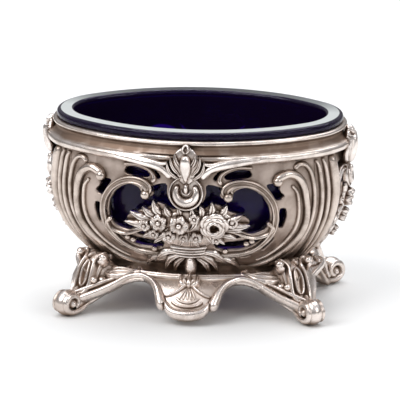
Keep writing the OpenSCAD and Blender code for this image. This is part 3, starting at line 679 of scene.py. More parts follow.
# Curled scroll round each large opening, with its hook, berries and low leaf
curl = {
    "ring": [(10.6, 36.4, 1.05, 1.5), (10.4, 38.1, 1.25, 1.7), (12.3, 39.5, 1.2, 1.6), (15.3, 39.8, 1.05, 1.5),
             (18.3, 38.9, 0.95, 1.4), (21, 36.7, 0.9, 1.35), (22.7, 33.9, 0.9, 1.3), (23.3, 31, 0.9, 1.3),
             (23.1, 28.1, 0.9, 1.3), (22.3, 25.6, 0.85, 1.3), (20.9, 23.3, 0.75, 1.2), (18, 20.5, 0.65, 1.1),
             (14.9, 18.9, 0.6, 1), (11.5, 18.4, 0.6, 1), (8.2, 18.3, 0.5, 0.9)],
    "inner": [(12.5, 36.9, 0.55, 0.9), (11.9, 37.9, 0.6, 1), (13, 38.7, 0.5, 0.9), (14.6, 38.9, 0.3, 0.6)],
    "upper": [(9.7, 39.6, 0.75, 1.2), (8.8, 40.6, 0.7, 1.1), (9.5, 42.4, 0.55, 0.9), (11.3, 43.6, 0.5, 0.9),
              (14, 44.2, 0.5, 0.8), (17.5, 43.9, 0.5, 0.8)],
    "hook": [(21, 27.9, 0.5, 0.8), (22, 27.5, 0.8, 1.2), (22.6, 26.2, 0.8, 1.2), (21.6, 24.8, 0.6, 1),
             (19.6, 23.9, 0.5, 0.9), (17.4, 23.7, 0.5, 0.9), (15, 24.5, 0.5, 0.9), (13, 25.6, 0.5, 0.9),
             (10.8, 26.3, 0.4, 0.8)],
    "berries": [(11.2, 36.1, 1.35, 0.5), (16.9, 22.7, 0.85), (15.4, 22, 0.85), (9.6, 19.6, 0.8)],
    "lowLeaf": [((11.9, 16.7), (6, 17.2), 0.95, 0.9, 0.1)],
}


def curledScroll():
    bm = bmesh.new()
    addMoulding(bm, frontWall, curl["ring"], "double")
    for part in ("inner", "upper", "hook"):
        addMoulding(bm, frontWall, curl[part])
    for berry in curl["berries"]:
        addBerry(bm, frontWall, *berry)
    addLeaves(bm, frontWall, curl["lowLeaf"])
    closeUp(bm)
    return bm


finishEach(curledScroll(), corners, "scroll_{}_curl", "scroll_{}", silver["body"])
print("scrolls made")

# Ribs that sweep round each corner and in under the openings: two seen from the front, the others by degrees of turn
ribs = {
    "knob": (23.9, 39.7, 1.45, 0.6),
    "hook": [(23.6, 39.4, 1.2, 1.7), (24.3, 40.6, 1.35, 1.9), (26.8, 41.5, 1.35, 1.9), (29.3, 40, 1.3, 1.8),
             (30.6, 37.2, 1.15, 1.7), (31.1, 34, 1.05, 1.6), (31.3, 30.9, 1, 1.5), (30.8, 27.1, 1, 1.5),
             (29.4, 23.8, 1, 1.4), (27, 20.7, 0.95, 1.4), (23.9, 17.8, 0.9, 1.3), (20.4, 15.3, 0.85, 1.2),
             (16.4, 13.6, 0.7, 1), (13.4, 12.9, 0.5, 0.8)],
    "inside": [(27.6, 38.2, 0.45, 0.7), (28.9, 36.2, 0.5, 0.9), (29.3, 33, 0.5, 0.9), (29.2, 29.5, 0.5, 0.9),
               (28.4, 26.4, 0.5, 0.9), (26.8, 23.4, 0.5, 0.8), (24, 20.2, 0.5, 0.8), (20.6, 17.4, 0.4, 0.7),
               (17, 15.4, 0.3, 0.5)],
    "byTurn": [
        [(33, 42.4, 0.8, 1.3), (34.3, 43.8, 0.85, 1.5), (36.6, 43.6, 0.8, 1.5), (38.4, 41.5, 0.75, 1.5),
         (39.3, 38, 0.72, 1.5), (39.6, 34, 0.7, 1.5), (39.5, 30, 0.7, 1.5), (38.9, 25.8, 0.7, 1.5),
         (37.9, 22, 0.7, 1.4), (36, 18.2, 0.7, 1.3), (33.3, 15, 0.65, 1.2), (30.3, 13.1, 0.6, 1)],
        [(40.5, 44.6, 0.6, 1.2), (43.3, 43, 0.65, 1.5), (45, 39.5, 0.7, 1.6), (46, 34.5, 0.7, 1.6),
         (46.2, 29.5, 0.7, 1.6), (45.6, 24.8, 0.7, 1.5), (44.4, 20.6, 0.68, 1.4), (42.4, 16.8, 0.65, 1.3),
         (39.6, 13.6, 0.6, 1.1)],
        [(47.5, 44.8, 0.6, 1.2), (49.8, 43, 0.7, 1.5), (51.6, 39.5, 0.75, 1.6), (52.6, 34.5, 0.75, 1.6),
         (52.8, 29.5, 0.75, 1.6), (52.2, 24.8, 0.72, 1.5), (51, 20.6, 0.7, 1.4), (49.2, 16.8, 0.65, 1.3),
         (46.8, 13.6, 0.6, 1.1)],
        [(57, 44.9, 1.2, 1.2), (59.5, 43.2, 1.5, 1.9), (61, 39.6, 1.6, 2.1), (61.7, 35, 1.5, 2.1),
         (61.5, 30, 1.4, 2), (60.6, 25.2, 1.3, 1.9), (59.2, 20.8, 1.2, 1.7), (57.2, 16.9, 1.1, 1.5),
         (55, 14, 0.9, 1.2)],
    ],
}


def cornerBundle():
    bm = bmesh.new()
    addMoulding(bm, frontWall, ribs["hook"])
    addBerry(bm, frontWall, *ribs["knob"])
    addMoulding(bm, frontWall, ribs["inside"])
    for line in ribs["byTurn"]:
        addMoulding(bm, turnWall, line)
    closeUp(bm)
    return bm


finishEach(cornerBundle(), corners, "ribs_{}", "corner_ribs_{}", silver["body"])
print("corner ribs made")

# Rim moulding: a rounded lip, a cove with a fillet, and a lower bead that gives way to the swags
rim = {
    "line": [(0.3, 45), (0.3, 51.2), (0.6, 51.5), (1.9, 51.5), (2.45, 51.38), (2.8, 51.1), (2.88, 50.75),
             (2.7, 50.42), (2.35, 50.22), (2.3, 50.05), (2.05, 49.9), (1.98, 49.4), (2.08, 48.9), (2.35, 48.45),
             (2.75, 48.15), (2.8, 48), (3.15, 47.88), (3.2, 47.7), (3.75, 47.65), (4.15, 47.4), (4.42, 47),
             (4.5, 46.55), (4.42, 46.1), (4.15, 45.7), (3.75, 45.42), (3.25, 45.3), (3.1, 45.15), (2.6, 45)],
    "uneven": 0.035, "swagReach": 13, "swagEase": 6, "beadTop": 47.8, "beadIn": 1.35,
}
waistLine = [(-12, 13.6), (-10.1, 13.75), (-9.8, 13.35), (-9.5, 13), (-9.1, 12.7), (-8.5, 12.42), (-7.9, 12.25),
             (-7.3, 12.13), (-6.8, 12.01), (-6.4, 11.86), (-6.6, 11.3), (-9.6, 11.2), (-9.9, 10.6), (-12.4, 10.6)]


def ovalRing(profile, columns, waver=None):
    # Carries a closed profile of offsets and heights round the oval
    bm = bmesh.new()
    rows = np.array(profile + profile[:1], float)
    turn = np.linspace(0, 2 * math.pi, columns + 1)
    off = np.repeat(rows[:, :1], columns + 1, axis=1)
    z = np.repeat(rows[:, 1:], columns + 1, axis=1)
    if waver:
        off = off + waver(turn[None, :], z)
    x, y, _, _ = onOval(np.broadcast_to(turn, off.shape), off)
    addGrid(bm, np.stack([x, y, z], axis=-1))
    closeUp(bm)
    return bm


def handWorn(turn, z):
    # Slight unevenness, and no lower bead in the middle of the long sides
    reach = rim["swagReach"] - np.abs(np.sin(turn)) * sideRadius
    near = np.clip(reach / rim["swagEase"], 0, 1) * (z < rim["beadTop"])
    uneven = rim["uneven"] * np.sin(turn * 17 + z * 3) * np.sin(turn * 5 + z)
    return uneven - rim["beadIn"] * near * near * (3 - 2 * near)


finishPiece(ovalRing(rim["line"], 480, handWorn), "rim", "rim_moulding", silver["rim"])
finishPiece(ovalRing(waistLine, 240), "waist", "waist_ring", silver["base"])
print("rim and waist made")

# Clasps: acanthus drops that lie over the rim and run down onto the bosses, so far out at these heights
clasp = {
    "heights": [36, 38.5, 41, 43.5, 45, 46.3, 47.5, 48.5, 49.6, 50.6, 51.3],
    "offs": [2.6, 2.9, 3.1, 3.5, 3.9, 4.15, 4.2, 4.1, 3.8, 3.3, 2.6],
    "plate": [(0, 50.3), (1.2, 50), (2.6, 48.9), (3.9, 46.6), (3.6, 44.6), (2.6, 42.8), (2.2, 41.2), (1, 39.8)],
    "bead": [(0, 48.5, 0.35, 0.9), (0.7, 49.1, 0.42, 1.1), (0.72, 49.9, 0.42, 1.1), (0, 50.7, 0.4, 1),
             (-0.72, 49.9, 0.42, 1.1), (-0.7, 49.1, 0.42, 1.1), (0, 48.5, 0.35, 0.9)],
    "drop": [(0, 48.2, 0.8, 1.3), (0, 47.2, 1.4, 1.7), (0, 45.8, 1.75, 2), (0, 44.2, 1.7, 2.2), (0, 42.6, 1.35, 2.2),
             (0, 41.2, 0.8, 1.9), (0, 40.2, 0.45, 1.4)],
    "tail": [(0, 39.9, 0.4, 1.3), (0, 38.9, 0.75, 1.8), (0, 37.7, 0.75, 1.8), (0, 36.9, 0.4, 1.2)],
    "leaves": [((1.1, 44.4), (2.9, 48.6), 0.65, 1.4, -0.1), ((1.5, 42.2), (4, 47.9), 0.5, 0.8, -0.14),
               ((1.7, 41), (5.1, 46.4), 0.5, 0.8, -0.18)],
    "swag": [(20, 46.4, 0.9, 0.9, 1.7), (15.8, 46.1, 1.15, 1.2, 1.8), (12.2, 45.6, 1.3, 1.4, 1.8),
             (9, 45, 1.35, 1.5, 1.6), (6.6, 44.1, 1.3, 1.6, 1.2), (5.1, 42.7, 1.15, 1.6, 0.9),
             (4.2, 41, 0.85, 1.3, 0.6)],
    "nib": [(5, 45.7, 0.4, 0.7), (6.6, 45.4, 0.5, 0.8), (8.8, 45.9, 0.4, 0.7), (10.6, 46.3, 0.3, 0.5)],
}


def overRim(view):
    def surface(across, z, out):
        off = np.interp(z, clasp["heights"], clasp["offs"]) + out
        x, y, dx, dy = onOval(view(across, off), off)
        return np.stack(np.broadcast_arrays(x, y, z + 0.12 * out), axis=-1)
    return surface


def claspPiece(surface, swagSurface=None):
    bm = bmesh.new()
    plate = clasp["plate"]
    addPlate(bm, surface, plate + mirrored(plate[:0:-1], -1), height=0.05, cell=0.35, depth=1.4)
    for part in ("bead", "drop", "tail"):
        addMoulding(bm, surface, clasp[part], root=1)
    for side in (1, -1):
        addLeaves(bm, surface, clasp["leaves"], side, 0.6, 2)
        if swagSurface:
            addMoulding(bm, swagSurface, mirrored(clasp["swag"], side), root=1.8)
            addMoulding(bm, surface, mirrored(clasp["nib"], side), root=1)
    closeUp(bm)
    return bm


frontClasp, endClasp = claspPiece(overRim(frontTurn), frontWall), claspPiece(overRim(endTurn))
finishEach(frontClasp, longSides, "clasp_{}", "rim_clasp_{}", silver["ornament"])
finishEach(endClasp, ends, "clasp_{}", "rim_clasp_{}", silver["ornament"])
print("clasps made")

# Shell bosses: a dish with crescents, each with its rise, radius, reach, width, height, steps, stand-off and root
boss = {
    "z": 37.3, "dish": 4.75, "endScale": 0.75,
    "crescents": [(0, 4.4, 165, 0.5, 1.5, 24, 0.2, 0.8), (0.1, 2.75, 135, 1.45, 2, 20, 0.4, 1.2),
                  (0.7, 1.2, 100, 0.45, 0.9, 10, 0.4, 1)],
}


def bossPiece(surface, scale):
    bm = bmesh.new()
    z, dish = boss["z"], boss["dish"] * scale
    outline = [(dish * math.sin(a), z - dish * math.cos(a)) for a in np.linspace(0, 2 * math.pi, 25)[:-1]]
    addPlate(bm, surface, outline, height=0.4, cell=0.3, depth=1.6)
    for up, r, reach, w, h, steps, out, root in boss["crescents"]:
        addMoulding(bm, surface, arcLine(0, z + up, r * scale, reach, w * scale, h, steps, out), root=root)
    closeUp(bm)
    return bm


frontBoss, endBoss = bossPiece(frontWall, 1), bossPiece(endWall, boss["endScale"])
finishEach(frontBoss, longSides, "boss_{}", "shell_boss_{}", silver["ornament"])
finishEach(endBoss, ends, "boss_{}", "shell_boss_{}", silver["ornament"])
print("bosses made")

# Flower basket of the long sides: plaited foot over hanging leaves, pointed leaves, daisies and a hollow rose
basket = {
    "outline": [(-14.2, 27.6), (-12.6, 30.2), (-9.6, 31.2), (-7.6, 32.6), (-4.8, 31.4), (0, 32.4), (4.4, 31.6),
                (7.2, 32.6), (10.4, 31.8), (12.8, 30), (13.8, 27.8), (11.8, 26.4), (10.2, 24.2), (6.4, 22.4),
                (4.6, 20.2), (4.2, 17.6), (0, 16.4), (-4.2, 17.6), (-4.6, 20.2), (-6.8, 22.2), (-10.4, 23.8),
                (-12, 26)],
    "leaves": [((-10, 28.4), (-17, 28.4), 1, 1.1, 0.1), ((-9.6, 29.4), (-15.2, 31.4), 1, 1.1, 0.1),
               ((-8, 30), (-11.8, 33), 0.95, 1.1, 0.1), ((-6.6, 30.4), (-8.8, 35), 1, 1.2, 0.12),
               ((-4, 30.4), (-5.6, 33.6), 0.9, 1.1, 0.1), ((-1.6, 30.8), (-2, 33.4), 0.8, 1, 0),
               ((1.6, 30.4), (1.6, 33.2), 0.8, 1, 0), ((4, 30.6), (3.8, 34), 0.9, 1.1, -0.1),
               ((6.4, 31), (6.8, 35), 0.95, 1.2, -0.1), ((8.8, 31), (10.8, 34.2), 0.95, 1.1, -0.1),
               ((11, 29.6), (14.8, 31.4), 0.9, 1.1, -0.1), ((11, 28.2), (16.6, 28.4), 1, 1.1, -0.1),
               ((10.2, 26.6), (14.8, 26.4), 0.75, 1.1, 0.1), ((9, 25.2), (13, 24.4), 0.75, 1.1, 0.1),
               ((6.4, 24.4), (9.8, 22.8), 0.75, 1, 0.1), ((-9.8, 26.8), (-14.6, 26), 0.75, 1.1, -0.1),
               ((-8.6, 25.4), (-12.2, 23.9), 0.75, 1.1, -0.1), ((-6.2, 24.2), (-9.2, 22.4), 0.75, 1, -0.1),
               ((-1.2, 26.2), (-2.4, 22), 0.9, 1.2, 0.1), ((0.6, 26.4), (0.4, 21.8), 0.9, 1.3, 0.1),
               ((2, 26.6), (3, 21.9), 0.9, 1.2, -0.1), ((3, 30.6), (0.6, 27), 0.8, 1.4, 0.1),
               ((-4.6, 27.6), (-8, 24.4), 0.9, 1.3, 0.1), ((4.2, 26.4), (6.6, 22.9), 0.9, 1.3, 0.1)],
    "daisies": [(-1.9, 28.6, 2.9, 2.3, 0.2), (-7.4, 29, 2.5, 2.2, 0.6), (-11.4, 27.8, 1.9, 1.8, 0.1),
                (-4.9, 25.2, 2.1, 2, 0.3), (2.4, 25, 1.9, 2, 0.8), (-9, 25.4, 1.6, 1.6, 0.4),
                (7.6, 24.2, 1.5, 1.5, 0.2), (2.2, 30.4, 1.6, 1.8, 0.5), (-0.9, 24.9, 1.5, 1.8, 0.9)],
    "rose": (7.3, 28.4, 3.7, 2.6),
    "bud": (12, 29.2, 1.6),
    "bands": [(21.6, 5, 0.45), (20.6, 4.5, 0.4), (19.7, 4.3, 0.45), (18.7, 3.8, 0.4)],
    "hanging": [((1.8, 18.2), (7, 14.2), 1, 1.9), ((1.5, 17), (4.6, 12.9), 0.9, 2.2),
                ((2.6, 19), (9.6, 16.2), 0.9, 1.2), ((5.6, 17.2), (12.6, 14.2), 0.8, 1.2)],
    "drop": [(0, 18, 0.5, 1.2, 0.5), (0, 16.9, 1.2, 1.9, 1), (0, 15.6, 1.7, 2.4, 1.8), (0, 14.4, 1.4, 2.3, 2.3),
             (0, 13.4, 0.6, 1.5, 2.3)],
}


def flowerBasket():
    bm = bmesh.new()
    addPlate(bm, frontWall, basket["outline"], height=0.5, cell=0.4, depth=1.5, dome=0.3)
    addLeaves(bm, frontWall, basket["leaves"], 1, 0.7, 3, 0.4)
    for daisy in basket["daisies"]:
        addDaisy(bm, frontWall, *daisy)
    addRose(bm, frontWall, *basket["rose"])
    x, z, r = basket["bud"]
    addMoulding(bm, frontWall, arcLine(x, z, r * 0.75, 170, r * 0.4, 1.2, 12, 0.6), root=1.2)
    addBerry(bm, frontWall, x, z, r * 0.45, 1.0)
    for z, reach, w in basket["bands"]:
        band = [(reach * t, z - 0.5 * (1 - t * t), w, 0.9, 0.5) for t in (-1, -0.6, 0, 0.6, 1)]
        addMoulding(bm, frontWall, band, root=1)
    for side in (1, -1):
        for root, tip, width, lift in basket["hanging"]:
            addLeaf(bm, frontWall, *mirrored((root, tip), side), width, 1.1, 0.2 * side, lift)
    addMoulding(bm, frontWall, basket["drop"], root=3)
    closeUp(bm)
    return bm


finishEach(flowerBasket(), longSides, "basket_{}", "flower_basket_{}", silver["ornament"])

# Flowers and scrolls of the ends
spray = {
    "outline": [(0, 34.2), (2.4, 34.6), (4, 31.5), (3, 28.4), (4, 25.8), (2, 23.2), (0, 19.6)],
    "leaves": [((1.2, 32), (3.4, 35.4), 0.9, 1.1, -0.1), ((2, 30.4), (6.4, 32), 0.9, 1.1, -0.1),
               ((1.8, 28), (5.8, 28.2), 0.9, 1.1, 0.1), ((1.4, 26), (5.2, 24.6), 0.9, 1, 0.1),
               ((0.8, 24), (3.4, 21.4), 0.85, 1, 0.1), ((0.3, 22), (1.6, 18.2), 0.8, 1, 0.1)],
    "daisies": [(0, 31, 2.7, 2.4, 0.2), (0.6, 26.2, 2.2, 2.2, 0.5), (-0.4, 22, 1.7, 1.8, 0.1)],
    "ring": [(1.9, 38.4, 0.6, 1), (3.2, 39.9, 0.8, 1.3), (5.6, 39.8, 0.9, 1.4), (7.9, 37.2, 0.9, 1.4),
             (8.9, 33.2, 0.9, 1.4), (8.4, 29, 0.9, 1.3), (7, 25.2, 0.85, 1.3), (4.6, 22.4, 0.75, 1.2),
             (1.8, 20.6, 0.6, 1)],
}


def flowerSpray():
    bm = bmesh.new()
    outline = spray["outline"]
    addPlate(bm, endWall, outline + mirrored(outline[-2:0:-1], -1), height=0.8, cell=0.4, depth=1.8, dome=0.4)
    for side in (1, -1):
        addLeaves(bm, endWall, spray["leaves"], side, 0.8)
        addMoulding(bm, endWall, mirrored(spray["ring"], side), "double")
    for daisy in spray["daisies"]:
        addDaisy(bm, endWall, *daisy)
    closeUp(bm)
    return bm


finishEach(flowerSpray(), ends, "spray_{}", "flower_spray_{}", silver["ornament"])
print("flowers made")

# The base: a flared skirt cut into arches, with a rolled lip and a shell in the middle of the long sides
arches = {
    "front": [(0, 2), (2.8, 2.5), (4.9, 4.1), (5.6, 5.9), (6.6, 7.6), (8.4, 9.2), (11.1, 10.2), (14.1, 10.4),
              (17.4, 9.6), (21, 7.9), (24.6, 5.6), (27.9, 3.2), (31.5, 1.25)],
    "end": [(0, 10.56), (3.4, 10.5), (6.5, 10.2), (9.1, 9.56), (11.8, 8.44), (14.4, 6.5), (17, 4.25), (19.7, 1.9)],
}


def skirtPiece(turns, columns, view, arch):
    # A piece of the skirt whose lower edge follows an arch seen from its side
    line = smoothLine(arch, 8)
    turn = np.linspace(*turns, columns)
    shares = np.linspace(0, skirt["lowest"], 300)
    off, z = skirt["run"] * shares - skirt["waistIn"], skirt["top"] - skirt["drop"] * shares ** skirt["fullness"]
    reach = []
    for a in turn:
        edge = np.interp(np.abs(view(a, off)), line[:, 0], line[:, 1])
        under = np.flatnonzero(z < edge)
        reach.append(shares[under[0]] if len(under) else shares[-1])
    share = np.array(reach)[:, None] * np.linspace(0, 1, skirt["rows"])[None, :]
    z = skirt["top"] - skirt["drop"] * share ** skirt["fullness"]
    bm = bmesh.new()
    addGrid(bm, onSkirt(turn[:, None] + 0 * share, z, 0 * share))
    faceOutwards(bm)
    if bm.faces[:][len(bm.faces) // 2].normal.z < 0:
        bmesh.ops.reverse_faces(bm, faces=bm.faces)
    thicken(bm, skirt["thickness"] * shownShare)
    return bm


shell = {
    "lip": [(0, 2.95, 1.5, 2), (3.7, 3.5, 1.35, 1.8), (5.4, 4.8, 0.95, 1.4), (5.9, 6.1, 0.5, 0.9)],
    "steps": [(4.3, 4.9, 0.4, 0.8), (3.2, 5.9, 0.35, 0.5)],
    "fan": [(0.35, 9.2, 0.22, 0.3), (0.8, 7.8, 0.3, 0.45), (1.15, 6.6, 0.25, 0.3)],
    "lobes": [((0.3, 9.6), (2.1, 11.7), 1.15, 1.9, -0.25), ((-0.3, 9.6), (-2.1, 11.7), 1.15, 1.9, 0.25)],
    "stem": [(0, 9.2, 0.5, 0.9), (0, 10, 0.9, 1.7), (0, 11, 0.75, 1.7), (0, 11.7, 0.4, 1.2)],
    "spread": [(0.9, 10, 0.55, 1.2), (1.7, 9.2, 0.5, 1), (3.2, 8.3, 0.5, 0.9), (4.8, 7.6, 0.5, 0.9),
               (6.2, 7.2, 0.4, 0.7)],
    "archLip": [(6.2, 5, 0.7, 1.1), (6.9, 5, 1.3, 1.8), (7.6, 6.6, 1.35, 1.7), (8.4, 8.5, 1.2, 1.5),
                (9.8, 9.95, 1, 1.3), (11.9, 10.75, 0.85, 1.2), (14.4, 10.95, 0.8, 1.15), (17.4, 10.25, 0.8, 1.1),
                (20, 8.95, 0.8, 1.05), (21.4, 8.1, 0.7, 0.9)],
}


def frontApron():
    bm = skirtPiece((-skirt["frontTurn"], skirt["frontTurn"]), 150, seenX, arches["front"])
    addMoulding(bm, frontSkirt, bothHalves(shell["lip"]), root=0.9)
    for reach, low, w, h in shell["steps"]:
        step = [(reach * t, low + (1 - math.sqrt(1 - 0.8 * t * t)) * 2.2, w, h)
                for t in (-1, -0.7, -0.35, 0, 0.35, 0.7, 1)]
        addMoulding(bm, frontSkirt, step)
    for x in (-2, -1, 0, 1, 2):
        addMoulding(bm, frontSkirt, [(x * p[0], *p[1:]) for p in shell["fan"]])
    addLeaves(bm, frontSkirt, shell["lobes"], lobes=1)
    addMoulding(bm, frontSkirt, shell["stem"], root=1)
    for side in (1, -1):
        addMoulding(bm, frontSkirt, mirrored(shell["spread"], side))
        addMoulding(bm, frontSkirt, mirrored(shell["archLip"], side), root=1)
    closeUp(bm)
    return bm


endOrnament = {
    "lip": [(0, 10.95, 0.75, 1), (3.4, 10.9, 0.75, 1), (6.5, 10.6, 0.75, 1), (9.1, 10, 0.75, 1),
            (11.4, 9.05, 0.7, 0.95), (13.4, 7.7, 0.65, 0.9), (15.2, 6.2, 0.6, 0.8)],
    "berry": (0, 11.5, 1), "leaf": [((0.6, 11.6), (4.6, 11.75), 0.7, 0.9, 0)],
}


def endApron():
    bm = skirtPiece(skirt["endTurns"], 110, seenY, arches["end"])
    addMoulding(bm, endSkirt, bothHalves(endOrnament["lip"]), root=1)
    addBerry(bm, endSkirt, *endOrnament["berry"])
    for side in (1, -1):
        addLeaves(bm, endSkirt, endOrnament["leaf"], side, 0.3)
    closeUp(bm)
    return bm


finishEach(frontApron(), longSides, "base_{}", "apron_{}", silver["base"])
finishEach(endApron(), ends, "base_{}", "apron_{}", silver["base"])
print("aprons made")

# Legs: an arm down from the skirt, balls at the knee, and a foot rolled up from the lip. Top and roll hold how far in
# from the foot and how high; the webs hold how far in on the leg, and the place and height on the skirt
leg = {
    "footX": 33.4, "footY": 21.3, "turn": math.radians(38),
    "top": [(-1, 3.6), (1.5, 4.6), (3.2, 5.3), (4.6, 6), (5.7, 7.4), (6.6, 9.4), (7.5, 11.6), (8.6, 13.4),
            (10, 14.5), (11.4, 14.9), (13, 14.4), (15, 13.1), (17.2, 12.2)],
    "roll": [(13, 7.9, 2), (10.5, 6.1, 2.2), (8, 4.5, 2.4), (5.5, 2.9, 2.6), (3.2, 1.8, 2.7), (1.4, 1.5, 2.75),
             (0, 1.5, 2.75), (-1.5, 2, 2.75), (-2.35, 2.95, 2.75), (-2.3, 4.35, 2.75), (-1.3, 5.5, 2.7),
             (0.2, 5.8, 2.65), (1.5, 5.2, 2.65), (2.05, 4.1, 2.7), (1.6, 3.1, 2.75), (0.6, 2.7, 2.8)],
    "rollThickness": [(0, 0.5), (20, 0.8), (36, 1.05), (71, 1.05), (90, 0.6)],
    "armSunk": 1.2, "web": {"share": 0.9, "sunk": 1.4, "inSkirt": 0.2, "sag": 0.78, "thickness": 0.9},
    "width": [(0.5, 2.3), (3, 2.4), (4.6, 2.7), (5.7, 3), (7, 3.3), (8.6, 3.6), (10.4, 4), (12.6, 4.2), (15, 4.2),
              (16.8, 4)],
    "height": [(0.5, 1), (4, 1.2), (8, 1.5), (13, 1.8), (15.5, 1.3), (16.8, 0.4)],
    "loop": [(0, 5.4, 0.35, 0.9), (0.8, 6, 0.4, 1.1), (1.15, 7, 0.45, 1.2), (0.75, 8.2, 0.4, 1.1), (0, 8.8, 0.35, 1),
             (-0.75, 8.2, 0.4, 1.1), (-1.15, 7, 0.45, 1.2), (-0.8, 6, 0.4, 1.1), (0, 5.4, 0.35, 0.9)],
    "side": [(1.7, 3.2, 0.35, 0.8), (2.3, 4.6, 0.5, 1.1), (2.6, 6, 0.55, 1.2), (2.4, 7.6, 0.55, 1.3),
             (2, 9.2, 0.55, 1.3), (2.6, 10.6, 0.6, 1.4), (3.7, 11, 0.65, 1.5, 0.2), (4.5, 10.1, 0.7, 1.5, 0.4),
             (4.4, 9, 0.65, 1.4, 0.4), (3.5, 8.7, 0.5, 1.2, 0.3)],
    "leaves": [((0.4, 12.6), (1.2, 9.4), 0.8, 1.1, 0.1), ((1.4, 13.6), (3.6, 12.6), 0.8, 1.1, 0.1),
               ((1.2, 5.4), (1, 2.6), 0.6, 0.9, 0.1)],
    "balls": [(4.5, 9.8, 1.2, 1.15), (1.3, 14.8, 0.9, 0.8)],
    "frontWeb": [(3, 30, 3.2), (5.4, 28, 5.4), (7, 26, 7.6), (8.6, 24, 9.4), (11, 22, 10.8), (14, 20, 11.8)],
    "endWeb": [(3, 41, 3.2), (5.4, 44, 5.4), (7, 48, 7.6), (8.6, 52, 9.4), (11, 56, 10.8), (14, 60, 11.8)],
    "strips": [
        [(19, 9.5, 0.75, 1), (21.4, 8.1, 0.85, 1.15, 0.1), (24, 6.5, 0.9, 1.2, 0.6), (26.6, 4.8, 0.9, 1.2, 1.6),
         (29.2, 3.1, 0.85, 1.2, 2.7), (31, 2.2, 0.6, 1, 3.4)],
        [(20.8, 9.6, 0.45, 0.7), (23, 8.7, 0.6, 0.9, 0.3), (25.6, 7.1, 0.65, 1, 1.2), (28.2, 5.4, 0.65, 1, 2.3),
         (30.6, 3.9, 0.5, 0.9, 3.3)],
    ],
    "skirtBerry": (24.4, 8.6, 1.15, 0.5), "kneeBerry": (-3.7, 6.6, 0.95),
    "endLeaf": [((-13, 11.3), (-8, 11.4), 0.9, 1, 0)],
    "leaf": [((25, 10.4), (14.6, 11.6), 1.7, 1.6, 0.05), ((24.6, 9.4), (15.6, 11.1), 0.9, 1.3, -0.1),
             ((24.4, 11.2), (17, 12), 0.8, 1, 0.1)],
    "leafEdge": [(20.4, 9.9, 0.4, 0.8), (18, 10.9, 0.45, 0.9), (15.8, 11.2, 0.5, 1), (13.9, 11.45, 0.55, 1.1),
                 (13.7, 11.85, 0.55, 1.1), (15.2, 12.1, 0.4, 0.8)],
}
inward = np.array([-math.sin(leg["turn"]), math.cos(leg["turn"]), 0])
sideward = np.array([math.cos(leg["turn"]), math.sin(leg["turn"]), 0])
upward = np.array([0, 0, 1])
footPlace = np.array([leg["footX"], -leg["footY"], 0])


def onLeg(across, far, out):
    # The leg's back: across it, far in from the foot, and out from it
    line = smoothLine(leg["top"], 10)
    z, after, before = (np.interp(far + step, *line.T) for step in (0, 0.2, -0.2))
    slope = (after - before) / 0.4
    size = np.sqrt(1 + slope ** 2)
    along, rise = far - out * slope / size, z + out / size
    return footPlace + along[..., None] * inward + np.asarray(across)[..., None] * sideward + rise[..., None] * upward


def addFootRoll(bm):
    line = smoothLine(leg["roll"], 6)
    centres = footPlace + line[:, :1] * inward + line[:, 1:2] * upward
    along = np.gradient(line[:, :2], axis=0)
    along /= np.linalg.norm(along, axis=1)[:, None]
    normals = along[:, :1] * upward - along[:, 1:] * inward
    thick = np.interp(np.arange(len(line)), *zip(*leg["rollThickness"]))
    addSweep(bm, centres, normals, line[:, 2], thick, "volute")


def addArm(bm):
    far = np.linspace(leg["width"][0][0], leg["width"][-1][0], 40)
    centres = onLeg(0 * far, far, 0 * far - leg["armSunk"])
    up = onLeg(0 * far, far, 0 * far + 1 - leg["armSunk"]) - centres
    width, height = (np.interp(far, *zip(*leg[part])) for part in ("width", "height"))
    addSweep(bm, centres, up, width, height, "arm", 1.6)


def addWeb(bm, side, surface, edge):
    # Closes one side of the leg to the skirt
    web = leg["web"]
    t = np.linspace(0, 1, 24)[:, None]
    fars, places, heights = (np.interp(t, np.linspace(0, 1, len(edge)), column) for column in zip(*edge))
    wide = np.interp(fars, *zip(*leg["width"])) * web["share"] * side
    near = onLeg(wide, fars, 0 * t - web["sunk"])[:, 0]
    far = surface(places, heights, 0 * t - web["inSkirt"])[:, 0]
    u = np.linspace(0, 1, 14)[None, :, None]
    sheet = bmesh.new()
    addGrid(sheet, near[:, None] * (1 - u) + far[:, None] * u - web["sag"] * upward * np.sin(math.pi * u))
    faceOutwards(sheet)
    thicken(sheet, web["thickness"])
    joinIn(bm, sheet)


def cornerLeg():
    bm = skirtPiece((skirt["frontTurn"], seat), 40, seenX, arches["front"])
    joinIn(bm, skirtPiece((seat, skirt["endTurns"][0]), 50, seenY, arches["end"]))
    addFootRoll(bm)
    addArm(bm)
    addMoulding(bm, onLeg, leg["loop"], root=1.2)
    addWeb(bm, -1, frontSkirt, leg["frontWeb"])
    addWeb(bm, 1, turnSkirt, leg["endWeb"])
    for side in (1, -1):
        addLeaves(bm, onLeg, leg["leaves"], side, 0.5)
        addMoulding(bm, onLeg, mirrored(leg["side"], side), root=1.8)
        for across, far, out, r in leg["balls"]:
            addBall(bm, pointOn(onLeg, across * side, far, out), r)
    addBerry(bm, onLeg, *leg["kneeBerry"])
    addBall(bm, footPlace + 3.6 * upward, 1.5, (2.1, 1, 1), leg["turn"])
    addLeaves(bm, frontSkirt, leg["leaf"], 1, 0.5, 5)
    addMoulding(bm, frontSkirt, leg["leafEdge"])
    addBerry(bm, frontSkirt, *leg["skirtBerry"])
    addLeaves(bm, endSkirt, leg["endLeaf"], 1, 0.4, 5)
    for strip in leg["strips"]:
        addMoulding(bm, frontSkirt, strip, root=1.4)
    closeUp(bm)
    return bm


finishEach(cornerLeg(), corners, "foot_{}", "leg_{}", silver["base"])
print("legs made")

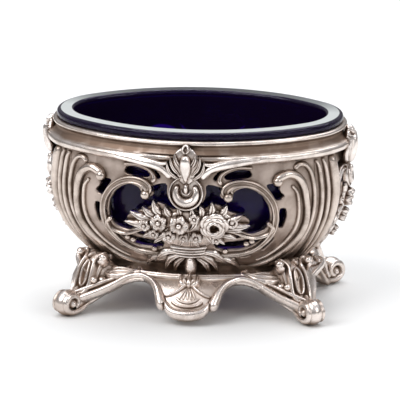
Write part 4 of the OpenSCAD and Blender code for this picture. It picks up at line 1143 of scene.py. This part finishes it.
# Glass liner, with the ground ring on top of its flange
glass = {
    "foot": 17.5, "rise": 34, "gap": 0.6, "tuck": 11, "fullness": 4.5, "floor": 3, "wall": 2.4,
    "shares": [0.02, 0.04, 0.07, 0.11, 0.16, 0.22, 0.3, 0.4, 0.52, 0.65, 0.78, 0.9, 0.97],
    "flange": [(-0.6, 51.45), (-0.55, 51.52), (1.3, 51.55), (1.6, 51.62), (1.78, 51.85), (1.8, 52.4), (1.78, 52.9),
               (1.62, 53.25), (1.25, 53.5), (0.75, 53.6), (0.65, 53.62), (0.3, 53.65), (-0.8, 53.67), (-2.25, 53.66),
               (-2.35, 53.65), (-2.7, 53.5), (-2.92, 53.15), (-3, 52.7)],
    "ringAbove": 53.61, "ringFrom": -2.3,
}


def glassOff(z):
    share = np.clip((bowl["rimTop"] - z) / (bowl["rimTop"] - glass["foot"]), 0, 1)
    return -glass["gap"] - (glass["tuck"] - glass["gap"]) * share ** glass["fullness"]


def liner():
    # Rows of offset, height and share of the oval's size, up the outside, over the flange and down the inside
    foot, floor = glass["foot"], glass["foot"] + glass["floor"]
    rows = [(-11.4, foot, s) for s in (0, 0.5, 0.85, 0.97, 1)] + [(-11.1, foot + 0.08, 1)]
    rows += [(glassOff(foot + t * glass["rise"]), foot + t * glass["rise"], 1) for t in glass["shares"]]
    rows += [(*p, 1) for p in glass["flange"]]
    rows += [(glassOff(z) - glass["wall"], z, 1) for z in floor + np.array(glass["shares"][::-1]) * (51 - floor)]
    rows += [(-13.5, floor + 0.05, 1)] + [(-13.5, floor, s) for s in (0.96, 0.8, 0.5, 0)]
    off, z, share = (column[:, None] for column in np.array(rows).T)
    turn = np.linspace(0, 2 * math.pi, 257)[None, :]
    x, y, _, _ = onOval(turn + 0 * off, off + 0 * turn)
    bm = bmesh.new()
    frostAndShade = bm.verts.layers.float.new("frostAndShade")
    ringOnTop = (z > glass["ringAbove"]) & (off > glass["ringFrom"])
    # The ground ring fades to near black towards the back: painted shade
    near = np.clip(1.1 + np.cos(turn), 0.12, 1)
    addGrid(bm, np.stack([x * share, y * share, z + 0 * x], axis=-1), frostAndShade, ringOnTop * near)
    closeUp(bm)
    return bm


finishPiece(liner(), "liner", "glass_liner", cobalt, body="liner")
print("liner made")
